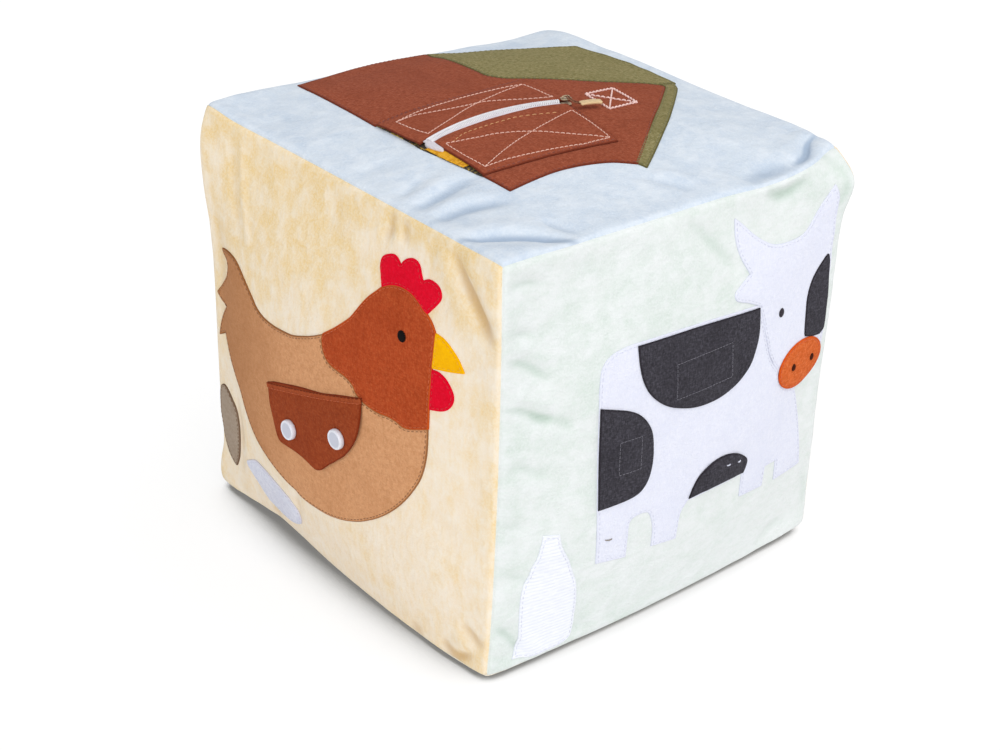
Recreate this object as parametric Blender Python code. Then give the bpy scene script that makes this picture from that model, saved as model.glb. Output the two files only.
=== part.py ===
# Soft play block: a stuffed velour cube with felt farm pictures.
# A hen with a snap-down wing is on the front, a cow with three pull-off
# spots on the right and a barn with zipped doors on the top.
# Lengths are in metres. The block rests on the floor at height zero.
import bpy
import bmesh
from math import atan2, ceil, cos, pi, sin
from mathutils import Matrix, Vector

# Overall sizes of the cube along its seams
seam_width = 0.210
seam_depth = 0.207
seam_height = 0.200
bottom_seam_lift = 0.004

# How far each face bulges past its seams
front_crown = 0.0128
right_crown = 0.0119
top_crown = 0.0104
hidden_crown = 0.009
base_crown = 0.010
crown_power = 2.4
# Side faces sag, which moves their fullest point down by this share
sag_share = 0.18

# Seams are a little bent, in steps of this size
seam_bend = 0.001
bend_shares = {
    "front top": (0, 3, -2),
    "left top": (-6, 0, -3),
    "right top": (-1, 0, -2),
    "back top": (0, -3, 3),
    "front right": (1, 1, 0),
    "front left": (1, -1, 0),
    "back right": (2, -6, 0),
    "back left": (-1, -1, 0),
    "base front": (0, -2, -1.5),
    "base left": (-1, 0, -1.5),
    "base right": (2, 0, -1.5),
    "back base": (0, 1, -1.5),
}
# One upper corner stands out as an ear
ear_shares = (-3, -2.5, 2.5)

# Cloth sizes
velour_thickness = 0.0015
felt_thickness = 0.001
thin_felt = 0.0007
thin_cloth = 0.0004
layer_gap = 0.0003
filling_gap = 0.0008
nap_gap = 0.0005
seam_gap = 0.00025
same_place = 0.00002
weld_distance = 0.00001
cut_distance = 0.0000001

# Picture tables are in hundredths of half the seam height,
# measured from the middle of the picture
picture_unit = seam_height / 200
# Where the middle of each picture sits, from the middle of its face
picture_middles = {
    "front": (1.5, 1.0),
    "right": (-1.8, 1.0),
    "top": (1.2, -1.1),
}

# Lines at which panels and felt bend, as shares of half the face
bend_line_shares = (-1, -0.95, -0.86, -0.74, -0.6, -0.42, -0.22, 0,
                    0.22, 0.42, 0.6, 0.74, 0.86, 0.95, 1)

# Snap fasteners
snap_cap_radius = 0.0053
snap_cap_height = 0.0011
snap_rim_share = 0.8
socket_radius = 0.0045
socket_bore = 0.0021
socket_height = 0.0012
stud_radius = 0.0043
stud_flange = 0.0004
stud_post_radius = 0.0016
stud_post_height = 0.0011
round_sides = 24
search_steps = 12
wing_rise = 0.0022
wing_rise_width = 0.010

# Hook-and-loop squares under the cow's spots
loop_thickness = 0.0007
hook_thickness = 0.0007
spot_slope = 0.004

# Zip sizes; distances along it are from the slider's place at rest
zip_raise = 0.0005
coil_start = 0.0047
coil_end = 0.0800
coil_gap = 0.00055
coil_width = 0.00145
coil_height = 0.0015
tape_width = 0.0011
tape_thickness = 0.0007
zip_steps = 10
door_end = 0.0832
left_door_start = -0.0035
right_door_start = 0.0005
slider_length = 0.008
slider_width = 0.0064
slider_neck_share = 0.7
slider_plate = 0.0009
slider_under_plate = 0.0006
slider_under_width = 0.0050
slider_web = 0.0005
bridge_length = 0.0054
bridge_height = 0.0023
bridge_thickness = 0.0007
bridge_width = 0.0014
bail_bar = 0.0008
bail_inner_width = 0.0048
bail_inner_length = 0.0064
pull_turn = 15 * pi / 180
bail_tilt = -1.5 * pi / 180
ribbon_share = 0.9
tab_length = 0.0110
tab_thickness = 0.0006

# Pictures: a point given twice is a sharp corner
hen_body_shares = (
    (-1.9, 29.0), (-1.9, 29.0), (-11.7, 25.8), (-20, 22.2), (-30, 18.7),
    (-46.7, 17.2), (-58, 18.6), (-64.2, 25), (-72, 31.6), (-80, 35.5),
    (-89.2, 35.8), (-95.3, 33), (-95.3, 33), (-89.5, 30.8), (-87, 26.7),
    (-90.5, 19), (-100.8, 8), (-100.8, 8), (-89.7, 5.3), (-89.7, 5.3),
    (-96, -3), (-101.3, -15), (-101.3, -15), (-92.5, -9.2),
    (-92.5, -9.2), (-90, -18.3), (-81.7, -30), (-69.2, -47.5),
    (-62, -54), (-43.3, -60.3), (-20, -64.3), (-5, -63.8),
    (15, -58.3), (38.3, -45), (55.8, -26.7), (66.7, -6.7),
    (68.3, 10), (68.0, 12.8), (68.0, 12.8),
    (61.7, 10.1), (56.7, 8.6), (50.8, 10.1), (46.7, 11.3),
    (38.3, 10.8), (31.5, 10.4), (25.6, 13.8), (19.8, 17.9),
    (11.7, 19.1), (5.6, 20.4), (1.4, 23.8))
hen_head_shares = (
    (-1.3, 29.4), (-1.3, 29.4), (4.2, 35), (10.8, 40.8), (17.5, 49.2),
    (22.5, 56.3), (27.5, 62), (33.3, 65.8), (40, 68.3), (46.7, 68.8),
    (53.3, 67.5), (60, 63.7), (66.7, 58.3), (66.7, 58.3), (67.4, 50),
    (67.1, 40), (67.0, 30), (67.4, 21.7), (68.0, 13.3), (68.0, 13.3),
    (61.7, 10.6), (56.7, 9.1), (50.8, 10.6), (46.7, 11.8),
    (38.3, 11.3), (31.7, 10.9), (25.9, 14.3), (20, 18.4),
    (11.7, 19.6), (5.8, 20.9), (1.7, 24.3))
hen_comb_shares = (
    (32.6, 65.9), (32.6, 65.9), (30.8, 70), (29.5, 75), (31.7, 79.2),
    (37.5, 81.7), (42.3, 78.6), (42.3, 78.6), (45, 82), (49.2, 83.7),
    (53.3, 82.2), (55.9, 77.1), (55.9, 77.1), (60, 78.3), (65, 78.7),
    (68.8, 75), (68.3, 70.8), (64.2, 66.7), (60.9, 63.6), (60.9, 63.6),
    (53.4, 68.0), (46.7, 69.3), (40, 68.8))
hen_beak_shares = (
    (67.9, 56.7), (67.9, 56.7), (73.3, 55.3), (80, 52), (85.5, 46.3),
    (85.5, 46.3), (78.3, 43.3), (70, 42), (67.6, 42), (67.6, 42))
hen_wattle_shares = (
    (67.6, 40.6), (67.6, 40.6), (71.7, 40.3), (76.7, 37.5), (80, 32.5),
    (79.2, 28.3), (75, 24.2), (67.8, 22.8), (67.8, 22.8))
hen_wing_shares = (
    (-47.5, -14.7), (-47.5, -14.7), (25, 10), (25, 10), (26, 2),
    (25.5, -5), (22.5, -15), (16.7, -22.5), (8.3, -30.8), (-1.7, -38),
    (-8, -39.7), (-19, -38.9), (-30, -38.7), (-36.4, -37.6),
    (-40.6, -32), (-42.8, -25))
hen_eye_shares = (48, 48.8, 3, 3)
taupe_egg_shares = (-94, -62, 11.5, 22.5)
taupe_egg_edge_share = -104.3
white_egg_shares = (-52.5, -78, 26, 11)
white_egg_tilt = -10 * pi / 180
snap_shares = ((-23.6, -26), (13.4, -14))
cow_body_shares = (
    (-52.2, 0), (-52.3, 24.2), (-52.2, 33.3), (-50.8, 42), (-46, 46.6),
    (-38.5, 48.3), (-31.3, 48.6), (9.8, 47), (45.6, 44.5), (45.6, 44.5),
    (48.6, 37.8), (51.8, 28), (55.2, 18.1), (59, 11.5), (62.3, 7.5),
    (65.6, -0.2), (72.5, -6.2), (79.8, -8), (79.8, -8), (84, -18.3),
    (87.3, -30), (89.8, -43.3), (92.3, -56.3), (92.3, -56.3),
    (70, -55.5), (70, -55.5), (69.5, -44), (69.5, -44),
    (60.5, -43.5), (60.5, -43.5), (60, -54.5), (60, -54.5),
    (42.5, -52.8), (42.5, -52.8), (42, -39.5), (42, -39.5),
    (4, -39.2), (4, -39.2), (-0.5, -45), (-1.3, -58.3), (-1.3, -58.3),
    (-16.8, -56.7), (-16.8, -56.7), (-17.7, -45), (-21.8, -36.2),
    (-31.8, -37), (-32.7, -46.7), (-32.3, -57.2), (-32.3, -57.2),
    (-49.3, -55), (-49.3, -55), (-51.4, -26.7))
cow_head_shares = (
    (46.1, 44.7), (46.1, 44.7), (38.2, 48.3), (31.2, 51), (30.2, 54.6),
    (39.8, 60.8), (39.8, 60.8), (34.2, 69.4), (30.6, 78.3),
    (29.8, 88), (29.8, 88), (34.8, 84.2), (41.5, 78.3), (49.8, 72.5),
    (56.5, 69.4), (64, 68.2), (73, 68.2), (79, 70.2), (85.4, 77.2),
    (93.4, 87), (93.4, 87), (97.2, 80), (98.8, 70), (99.3, 58),
    (99.5, 30), (99.3, 6), (95.5, -1.5), (90.5, -5), (82, -7),
    (74, -5.8), (66.8, -0.2), (63.1, 7.2), (59.6, 11.9), (55.8, 18.4),
    (52.4, 28.2), (49.2, 37.8))
cow_cheek_shares = (
    (83.3, 19.5), (83.3, 19.5), (82, 30), (83.2, 38.3), (86.5, 46.7),
    (90.7, 50.8), (96.4, 52.4), (99.2, 43), (99.5, 30), (98.7, 16.4),
    (98.7, 16.4), (93.6, 16.0), (86, 18.2))
cow_muzzle_shares = (81.8, 4.2, 18, 12.2)
nostril_shares = ((74.8, 4.6, 1.6, 1.8), (91.2, 3.8, 1.6, 1.8))
cow_eye_shares = (61.7, 36.7, 2.4, 2.6)
bottle_shares = (
    (-82.2, -33), (-82.2, -33), (-70.4, -32.6), (-70.4, -32.6),
    (-70.2, -40.5), (-67, -46), (-63.2, -54), (-61, -66),
    (-60.2, -80), (-59.2, -91), (-62.5, -93.5), (-74, -94.5),
    (-86, -93.5), (-89.6, -90.5), (-89.4, -75), (-88.8, -60),
    (-86.6, -49), (-82.6, -41))
back_spot_shares = (
    (-31.3, 47.8), (-31.3, 47.8), (9.8, 46.2), (46, 43.7), (46, 43.7),
    (46.4, 33.3), (44.6, 25), (40.3, 17.5), (33, 12.6), (23.2, 9.6),
    (13.2, 8.7), (3.2, 9.5), (-6, 11.9), (-15.2, 15.9),
    (-23, 22.2), (-27.9, 29.6), (-30.4, 38.3))
rump_spot_shares = (
    (-52.3, 24.2), (-52.3, 24.2), (-45, 22), (-36.8, 19.3), (-30.6, 16),
    (-25.6, 11), (-22.3, 4.6), (-21.2, -4), (-21.5, -12),
    (-23.8, -19), (-28, -23.4), (-35.2, -25.2), (-51.6, -25.8),
    (-51.6, -25.8), (-52.2, 0))
belly_spot_shares = (
    (4, -38.3), (4, -38.3), (6.2, -33.2), (10.4, -27.8), (17, -24.2),
    (25.4, -23), (33.6, -24.6), (40, -28.2), (44, -32.6), (42, -38.8),
    (42, -38.8), (29.8, -38.0), (16.5, -38.0))
# Middle and half sizes of the hook-and-loop squares
back_patch_shares = (8.6, 25.5, 17.5, 8.5)
rump_patch_shares = (-36.5, -2.5, 6.5, 8.2)
belly_patch_shares = (25, -31.2, 9.5, 3.4)
# The wall is cut away under the doors
barn_wall_shares = (
    (-104.2, 28.1), (-104.2, 28.1), (-47.8, 19.2), (-47.8, 19.2),
    (-37.1, 23), (-19, 46.2), (2.5, 79.6), (6, 83.4), (9.7, 81.4),
    (26, 60.2), (37.4, 44.7), (58.2, 17.9), (66.2, 6.2), (66.2, 6.2),
    (61.7, -3.2), (57.6, -16.6), (55.7, -30.1), (55.9, -43.3),
    (57.1, -58.5), (57.1, -58.5), (43.8, -60.5), (43.8, -60.5),
    (50.1, 13.2), (50.1, 13.2), (11.1, 21), (11.1, 21), (12, 26.6),
    (12, 26.6), (3.4, 28.6), (3.4, 28.6), (2, 25), (2, 25), (-30.1, 25),
    (-30.1, 25), (-30.1, -61.8), (-30.1, -61.8), (-61.9, -57.6),
    (-98.9, -52.8), (-98.9, -52.8), (-103.2, -24.9), (-104.2, 1.1))
barn_roof_shares = (
    (-104.2, 28.8), (-104.2, 28.8), (-47.8, 19.8), (-47.8, 19.8),
    (-37.3, 23.6), (-19.4, 46.6), (2, 79.9), (4, 83.2), (3.8, 93.8),
    (3.8, 93.8), (-34.2, 95), (-67.2, 92.6), (-67.2, 92.6))
roof_edge_shares = (
    (4.3, 93.4), (4.3, 93.4), (4.5, 84), (6.4, 84), (10, 81.9),
    (26.4, 60.6), (37.7, 45.2), (58.5, 18.3), (66.9, 6), (66.9, 6),
    (73.4, 7.4), (73.4, 7.4), (66.7, 20.2), (53.5, 36.6), (37.4, 56.1),
    (22.8, 74.1), (9.7, 88.8))
pocket_lining_shares = (
    (-28.8, -63.8), (-28.8, -63.8), (9.4, -65.2), (41.8, -63.4), (41.8, -63.4),
    (47.6, 11.2), (47.6, 11.2), (10.6, 18.6), (10.6, 18.6), (10.6, 25.6),
    (10.6, 25.6), (3.8, 26.6), (3.8, 26.6), (2.6, 23.4), (2.6, 23.4),
    (-28.8, 23.4), (-28.8, 23.4))
hay_shares = (
    (9, -64.9), (9, -64.9), (30.4, -64.2), (30.4, -64.2), (30.4, -49.4),
    (25.4, -46.4), (16.4, -45.4), (9, -49.4), (9, -49.4))
zip_foot_shares = (
    (-3.3, -63.3), (-3.3, -63.3), (8, -63.3), (8, -63.3), (6.2, -60),
    (6.2, -60), (-1.8, -60), (-1.8, -60))
# Upper and lower ends of the doors' sewn edges
left_door_shares = ((-29.6, 24.4), (-29.8, -62.6))
right_door_shares = ((49.6, 12.8), (43.2, -62.2))
# Three places on the zip: its foot, its bend and the slider at rest
zip_path_shares = ((3.4, -59), (-0.6, -19.6), (7.2, 20.6))

# Colours as red, green and blue, with how rough each is
colours = {
    "butter_velour": (0.86, 0.74, 0.52, 0.95),
    "mint_velour": (0.76, 0.84, 0.78, 0.95),
    "sky_velour": (0.64, 0.74, 0.85, 0.95),
    "cream_velour": (0.86, 0.82, 0.74, 0.95),
    "white_fibre": (0.9, 0.9, 0.9, 1.0),
    "tan_felt": (0.55, 0.30, 0.14, 0.95),
    "rust_felt": (0.38, 0.07, 0.02, 0.95),
    "red_felt": (0.75, 0.002, 0.02, 0.9),
    "yellow_felt": (0.95, 0.50, 0.01, 0.9),
    "taupe_felt": (0.38, 0.30, 0.24, 0.95),
    "lavender_felt": (0.68, 0.70, 0.80, 0.95),
    "white_felt": (0.80, 0.82, 0.92, 0.95),
    "charcoal_felt": (0.045, 0.04, 0.05, 0.95),
    "orange_felt": (0.75, 0.16, 0.03, 0.9),
    "brick_felt": (0.32, 0.09, 0.045, 0.95),
    "olive_felt": (0.20, 0.18, 0.08, 0.95),
    "dark_lining": (0.03, 0.025, 0.02, 0.8),
    "loop_tape": (0.7, 0.72, 0.8, 0.9),
    "hook_tape": (0.05, 0.045, 0.05, 0.7),
    "zip_white": (0.85, 0.83, 0.85, 0.6),
    "snap_plastic": (0.75, 0.80, 0.88, 0.25),
    "black_thread": (0.01, 0.008, 0.008, 0.6),
    "slider_metal": (0.32, 0.27, 0.20, 0.4),
    "tan_ribbon": (0.62, 0.38, 0.22, 0.85),
}
metal_names = ("slider_metal",)

face_axes = {
    "front": (Vector((0, -1, 0)), Vector((1, 0, 0)), Vector((0, 0, 1))),
    "right": (Vector((1, 0, 0)), Vector((0, 1, 0)), Vector((0, 0, 1))),
    "top": (Vector((0, 0, 1)), Vector((1, 0, 0)), Vector((0, 1, 0))),
    "back": (Vector((0, 1, 0)), Vector((-1, 0, 0)), Vector((0, 0, 1))),
    "left": (Vector((-1, 0, 0)), Vector((0, -1, 0)), Vector((0, 0, 1))),
    "base": (Vector((0, 0, -1)), Vector((1, 0, 0)), Vector((0, -1, 0))),
}
crowns = {
    "front": front_crown,
    "right": right_crown,
    "top": top_crown,
    "back": hidden_crown,
    "left": hidden_crown,
    "base": base_crown,
}


def clear_scene():
    for thing in list(bpy.data.objects):
        bpy.data.objects.remove(thing, do_unlink=True)


def material(name):
    if name in bpy.data.materials:
        return bpy.data.materials[name]
    made = bpy.data.materials.new(name)
    made.use_nodes = True
    shader = made.node_tree.nodes["Principled BSDF"]
    red, green, blue, rough = colours[name]
    shader.inputs["Base Color"].default_value = (red, green, blue, 1)
    shader.inputs["Roughness"].default_value = rough
    shader.inputs["Metallic"].default_value = float(name in metal_names)
    made.diffuse_color = (red, green, blue, 1)
    return made


def add_empty(name, point):
    empty = bpy.data.objects.new(name, None)
    empty.location = point
    bpy.context.scene.collection.objects.link(empty)
    return empty


def add_object(name, points, faces, colour, origin, parent=None, smooth=False):
    # Points are in the shared frame; the object's origin goes to origin
    mesh = bpy.data.meshes.new(name)
    mesh.from_pydata([Vector(p) - origin for p in points], [], faces)
    mesh.update()
    mesh.materials.append(material(colour))
    if smooth:
        mesh.polygons.foreach_set("use_smooth", [True] * len(mesh.polygons))
    thing = bpy.data.objects.new(name, mesh)
    bpy.context.scene.collection.objects.link(thing)
    if parent is None:
        thing.location = origin
    else:
        thing.parent = parent
        thing.location = origin - parent.location
    return thing


def corner_point(direction, inset):
    # direction holds the three signs of a corner of the cube
    point = Vector((
        direction[0] * (seam_width / 2 - inset),
        direction[1] * (seam_depth / 2 - inset),
        bottom_seam_lift + inset))
    if direction[2] > 0:
        point.z = bottom_seam_lift + seam_height - inset
    if tuple(round(s) for s in direction) == (-1, -1, 1):
        point += Vector(ear_shares) * seam_bend
    return point


def seam_bow(one, other):
    for name, (normal, across, up) in face_axes.items():
        if normal.dot(one) > 0.5:
            first = name
        if normal.dot(other) > 0.5:
            second = name
    key = " ".join(sorted((first, second)))
    if key not in bend_shares:
        key = " ".join(sorted((first, second), reverse=True))
    return Vector(bend_shares[key]) * seam_bend


def half_sizes(face):
    normal, across, up = face_axes[face]
    spans = Vector((seam_width, seam_depth, seam_height)) / 2
    half_across = abs(across.dot(spans))
    half_up = abs(up.dot(spans))
    return half_across, half_up


def face_point(face, a, b, lift=0.0, inset=0.0):
    # a and b run from -1 to 1 across and up the face
    normal, across, up = face_axes[face]
    low_left = corner_point(normal - across - up, inset)
    low_right = corner_point(normal + across - up, inset)
    high_right = corner_point(normal + across + up, inset)
    high_left = corner_point(normal - across + up, inset)
    s = (a + 1) / 2
    t = (b + 1) / 2
    point = low_left * (1 - s) * (1 - t) + low_right * s * (1 - t)
    point += high_right * s * t + high_left * (1 - s) * t
    bow = seam_bow(normal, -up) * (1 - t) + seam_bow(normal, up) * t
    point += bow * (1 - a * a)
    bow = seam_bow(normal, -across) * (1 - s) + seam_bow(normal, across) * s
    point += bow * (1 - b * b)
    sagged = b
    if face not in ("top", "base"):
        sagged = b + sag_share * (1 - b * b)
    fullness = (1 - abs(a) ** crown_power) * (1 - abs(sagged) ** crown_power)
    point += normal * (crowns[face] * fullness + lift)
    if face == "base":
        point.z = max(point.z, inset - lift)
    return point


def face_normal(face, a, b):
    step = 0.01
    along = face_point(face, a + step, b) - face_point(face, a - step, b)
    upward = face_point(face, a, b + step) - face_point(face, a, b - step)
    return along.cross(upward).normalized()


def picture_middle(face):
    return Vector(picture_middles[face]) * picture_unit


def on_face(face, across, up, lift):
    # across and up are lengths from the middle of the picture
    half_across, half_up = half_sizes(face)
    middle = picture_middle(face)
    return face_point(face, (across + middle.x) / half_across,
                      (up + middle.y) / half_up, lift)


def panel_line(face):
    # Bend lines of a panel, drawn in a little at both seams
    half_across, half_up = half_sizes(face)
    lines = []
    for half in (half_across, half_up):
        edge = 1 - seam_gap / half
        lines.append([max(-edge, min(edge, s)) for s in bend_line_shares])
    return lines


def velour_panel(name, face, colour):
    columns, rows = panel_line(face)
    wide = len(columns)
    high = len(rows)
    points = []
    for inset in (0.0, velour_thickness):
        for b in rows:
            for a in columns:
                points.append(face_point(face, a, b, 0.0, inset))
    shift = wide * high
    faces = []
    for j in range(high - 1):
        for i in range(wide - 1):
            k = j * wide + i
            outer = (k, k + 1, k + 1 + wide, k + wide)
            faces.append(outer)
            faces.append(tuple(n + shift for n in reversed(outer)))
    for i in range(wide - 1):
        last = (high - 1) * wide
        faces.append((i + 1, i, i + shift, i + 1 + shift))
        faces.append((last + i, last + i + 1,
                      last + i + 1 + shift, last + i + shift))
    for j in range(high - 1):
        left = j * wide
        right = left + wide - 1
        faces.append((left, left + wide, left + wide + shift, left + shift))
        faces.append((right + wide, right, right + shift,
                      right + wide + shift))
    middle = face_point(face, 0, 0)
    add_object(name, points, faces, colour, middle, None, True)


def fibre_filling():
    inset = velour_thickness + filling_gap
    points = []
    faces = []
    wide = len(bend_line_shares)
    for face in face_axes:
        first = len(points)
        for b in bend_line_shares:
            for a in bend_line_shares:
                points.append(face_point(face, a, b, 0.0, inset))
        for j in range(wide - 1):
            for i in range(wide - 1):
                k = first + j * wide + i
                faces.append((k, k + 1, k + 1 + wide, k + wide))
    middle = Vector((0, 0, bottom_seam_lift + seam_height / 2))
    filling = add_object("fibre_filling", points, faces, "white_fibre",
                         middle, None, True)
    body = bmesh.new()
    body.from_mesh(filling.data)
    bmesh.ops.remove_doubles(body, verts=body.verts, dist=weld_distance)
    body.to_mesh(filling.data)
    body.free()


def smooth_outline(shares, steps=2):
    # A closed curve through the points; doubled points stay sharp
    points = [Vector((x, y)) * picture_unit for x, y in shares]
    count = len(points)
    outline = []
    for i in range(count):
        here = points[i]
        after = points[(i + 1) % count]
        if (after - here).length < same_place:
            continue
        leave = (after - points[i - 1]) / 2
        arrive = (points[(i + 2) % count] - here) / 2
        reach = (after - here).length
        leave = leave.normalized() * min(leave.length, reach)
        arrive = arrive.normalized() * min(arrive.length, reach)
        for step in range(steps):
            t = step / steps
            curve = here * (2 * t ** 3 - 3 * t ** 2 + 1)
            curve += leave * (t ** 3 - 2 * t ** 2 + t)
            curve += after * (3 * t ** 2 - 2 * t ** 3)
            curve += arrive * (t ** 3 - t ** 2)
            outline.append(curve)
    return outline


def oval_outline(shares, tilt=0.0, taper=0.0, sides=20):
    # An oval or egg given by its middle and half sizes
    across, up, half_across, half_up = [s * picture_unit for s in shares]
    outline = []
    for i in range(sides):
        turn = 2 * pi * i / sides
        x = half_across * cos(turn) * (1 - taper * sin(turn))
        y = half_up * sin(turn)
        outline.append(Vector((
            across + x * cos(tilt) - y * sin(tilt),
            up + x * sin(tilt) + y * cos(tilt))))
    return outline


def box_outline(shares):
    across, up, half_across, half_up = [s * picture_unit for s in shares]
    signs = ((-1, -1), (1, -1), (1, 1), (-1, 1))
    return [Vector((across + half_across * sx, up + half_up * sy))
            for sx, sy in signs]


def signed_area(outline):
    total = 0.0
    for i, here in enumerate(outline):
        total += outline[i - 1].cross(here)
    return total / 2


def bend_lines(face, extra):
    # Lines as a point and a direction across the line
    half_across, half_up = half_sizes(face)
    middle = picture_middle(face)
    lines = []
    for share in bend_line_shares:
        x = share * half_across - middle.x
        y = share * half_up - middle.y
        lines.append((Vector((x, 0)), Vector((1, 0))))
        lines.append((Vector((0, y)), Vector((0, 1))))
    return lines + list(extra)


def felt_piece(name, face, outline, low, thick, colour,
               rise=None, extra=(), origin=None, parent=None):
    # A flat piece laid over a face between low and low plus thick
    if signed_area(outline) < 0:
        outline = outline[::-1]
    sheet = bmesh.new()
    corners = [sheet.verts.new((p.x, p.y, 0)) for p in outline]
    sheet.faces.new(corners)
    for point, across in bend_lines(face, extra):
        everything = sheet.verts[:] + sheet.edges[:] + sheet.faces[:]
        bmesh.ops.bisect_plane(
            sheet, geom=everything, dist=cut_distance,
            plane_co=point.to_3d(), plane_no=across.to_3d())
    bmesh.ops.triangulate(sheet, faces=sheet.faces[:])
    sheet.verts.index_update()
    count = len(sheet.verts)
    lower = []
    upper = []
    for vert in sheet.verts:
        across, up = vert.co.x, vert.co.y
        height = low
        if rise is not None:
            height += rise(across, up)
        lower.append(on_face(face, across, up, height))
        upper.append(on_face(face, across, up, height + thick))
    faces = []
    for tri in sheet.faces:
        loop = [v.index for v in tri.verts]
        if tri.normal.z < 0:
            loop = loop[::-1]
        faces.append(tuple(n + count for n in loop))
        faces.append(tuple(reversed(loop)))
        for i, start in enumerate(loop):
            end = loop[(i + 1) % len(loop)]
            edge = sheet.edges.get((sheet.verts[:][start],
                                    sheet.verts[:][end]))
            if edge.is_boundary:
                faces.append((start, end, end + count, start + count))
    sheet.free()
    if origin is None:
        origin = sum(upper, Vector()) / count
    return add_object(name, lower + upper, faces, colour, origin, parent)


def layer_low(layers):
    # Height of a piece's underside over that many felt layers
    return nap_gap + layers * (felt_thickness + layer_gap)


def spot_rise(patch):
    # Lift of a spot over its hook-and-loop square
    across, up, half_across, half_up = [s * picture_unit for s in patch]
    height = loop_thickness + hook_thickness + 2 * layer_gap

    def rise(x, y):
        near = (half_across + spot_slope - abs(x - across)) / spot_slope
        level = (half_up + spot_slope - abs(y - up)) / spot_slope
        share = min(max(near, 0), 1) * min(max(level, 0), 1)
        return height * share
    return rise


def spot_lines(patch):
    across, up, half_across, half_up = [s * picture_unit for s in patch]
    lines = []
    for sign in (-1, 1):
        for margin in (0.0, spot_slope):
            x = across + sign * (half_across + margin)
            y = up + sign * (half_up + margin)
            lines.append((Vector((x, 0)), Vector((1, 0))))
            lines.append((Vector((0, y)), Vector((0, 1))))
    return lines


def hinge_line(face, start, end, lift):
    # A straight line over the crown of a face, from start to end
    first = on_face(face, start.x, start.y, lift)
    last = on_face(face, end.x, end.y, lift)
    along = (last - first).normalized()
    normal = face_axes[face][0]
    outward = (normal - along * normal.dot(along)).normalized()
    highest = 0.0
    for i in range(search_steps + 1):
        spot = start.lerp(end, i / search_steps)
        point = on_face(face, spot.x, spot.y, lift)
        highest = max(highest, (point - first).dot(outward))
    raised = outward * (highest + layer_gap)
    return first + raised, last + raised


def turned(name, profile, colour, point, normal, origin, parent=None):
    # Turn a profile of radius and height pairs about normal at point
    facing = normal.to_track_quat("Z", "Y").to_matrix()
    points = []
    faces = []
    count = len(profile)
    for i in range(round_sides):
        turn = 2 * pi * i / round_sides
        for radius, height in profile:
            spot = Vector((radius * cos(turn), radius * sin(turn), height))
            points.append(point + facing @ spot)
    for i in range(round_sides):
        this = i * count
        following = ((i + 1) % round_sides) * count
        for k in range(count):
            m = (k + 1) % count
            faces.append((this + k, following + k, following + m, this + m))
    return add_object(name, points, faces, colour, origin, parent, True)


def solid_turned(name, profile, colour, point, normal, origin, parent=None):
    # As turned, but the profile starts and ends on the middle line
    facing = normal.to_track_quat("Z", "Y").to_matrix()
    rim = profile[1:-1]
    count = len(rim)
    points = [point + facing @ Vector((0, 0, profile[0][1])),
              point + facing @ Vector((0, 0, profile[-1][1]))]
    faces = []
    for i in range(round_sides):
        turn = 2 * pi * i / round_sides
        for radius, height in rim:
            spot = Vector((radius * cos(turn), radius * sin(turn), height))
            points.append(point + facing @ spot)
    for i in range(round_sides):
        this = 2 + i * count
        following = 2 + ((i + 1) % round_sides) * count
        faces.append((0, following, this))
        faces.append((1, this + count - 1, following + count - 1))
        for k in range(count - 1):
            faces.append((this + k, following + k,
                          following + k + 1, this + k + 1))
    return add_object(name, points, faces, colour, origin, parent, True)


def prism(points, depth_vector):
    # Extrude a loop of points; returns points and faces facing out
    count = len(points)
    shifted = [p + depth_vector for p in points]
    faces = [tuple(range(count)), tuple(reversed(range(count, 2 * count)))]
    for i in range(count):
        m = (i + 1) % count
        faces.append((m, i, i + count, m + count))
    return points + shifted, faces


def make_panels():
    fibre_filling()
    velour_panel("hen_panel", "front", "butter_velour")
    velour_panel("cow_panel", "right", "mint_velour")
    velour_panel("barn_panel", "top", "sky_velour")
    velour_panel("back_panel", "back", "butter_velour")
    velour_panel("left_panel", "left", "cream_velour")
    velour_panel("base_panel", "base", "cream_velour")


def make_hen():
    felt = felt_thickness
    first = layer_low(0)
    second = layer_low(1)
    pieces = (
        ("hen_body", hen_body_shares, "tan_felt"),
        ("hen_head", hen_head_shares, "rust_felt"),
        ("hen_comb", hen_comb_shares, "red_felt"),
        ("hen_beak", hen_beak_shares, "yellow_felt"),
        ("hen_wattle", hen_wattle_shares, "red_felt"),
    )
    for name, shares, colour in pieces:
        felt_piece(name, "front", smooth_outline(shares), first, felt, colour)
    felt_piece("hen_eye", "front", oval_outline(hen_eye_shares), second,
               felt, "black_thread")
    egg = oval_outline(taupe_egg_shares, 0.0, 0.12)
    edge = taupe_egg_edge_share * picture_unit
    for point in egg:
        point.x = max(point.x, edge)
    felt_piece("taupe_egg", "front", egg, first, felt, "taupe_felt")
    egg = oval_outline(white_egg_shares, white_egg_tilt)
    felt_piece("white_egg", "front", egg, first, felt, "lavender_felt")


def make_wing():
    start = Vector(hen_wing_shares[0]) * picture_unit
    end = Vector(hen_wing_shares[2]) * picture_unit
    low = layer_low(1)
    first, last = hinge_line("front", start, end, low + felt_thickness)
    axis = add_empty("hen_wing_axis", (first + last) / 2)
    along = (end - start).normalized()
    down = Vector((along.y, -along.x))

    def rise(x, y):
        away = (Vector((x, y)) - start).dot(down)
        return wing_rise * min(max(away / wing_rise_width, 0), 1)
    extra = [(start + down * wing_rise_width * share, down)
             for share in (0.5, 1)]
    felt_piece("hen_wing", "front", smooth_outline(hen_wing_shares), low,
               felt_thickness, "rust_felt", rise, extra,
               axis.location.copy(), axis)
    for side, shares in zip(("left", "right"), snap_shares):
        spot = Vector(shares) * picture_unit
        make_snap(side, spot, low + wing_rise, axis)


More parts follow.
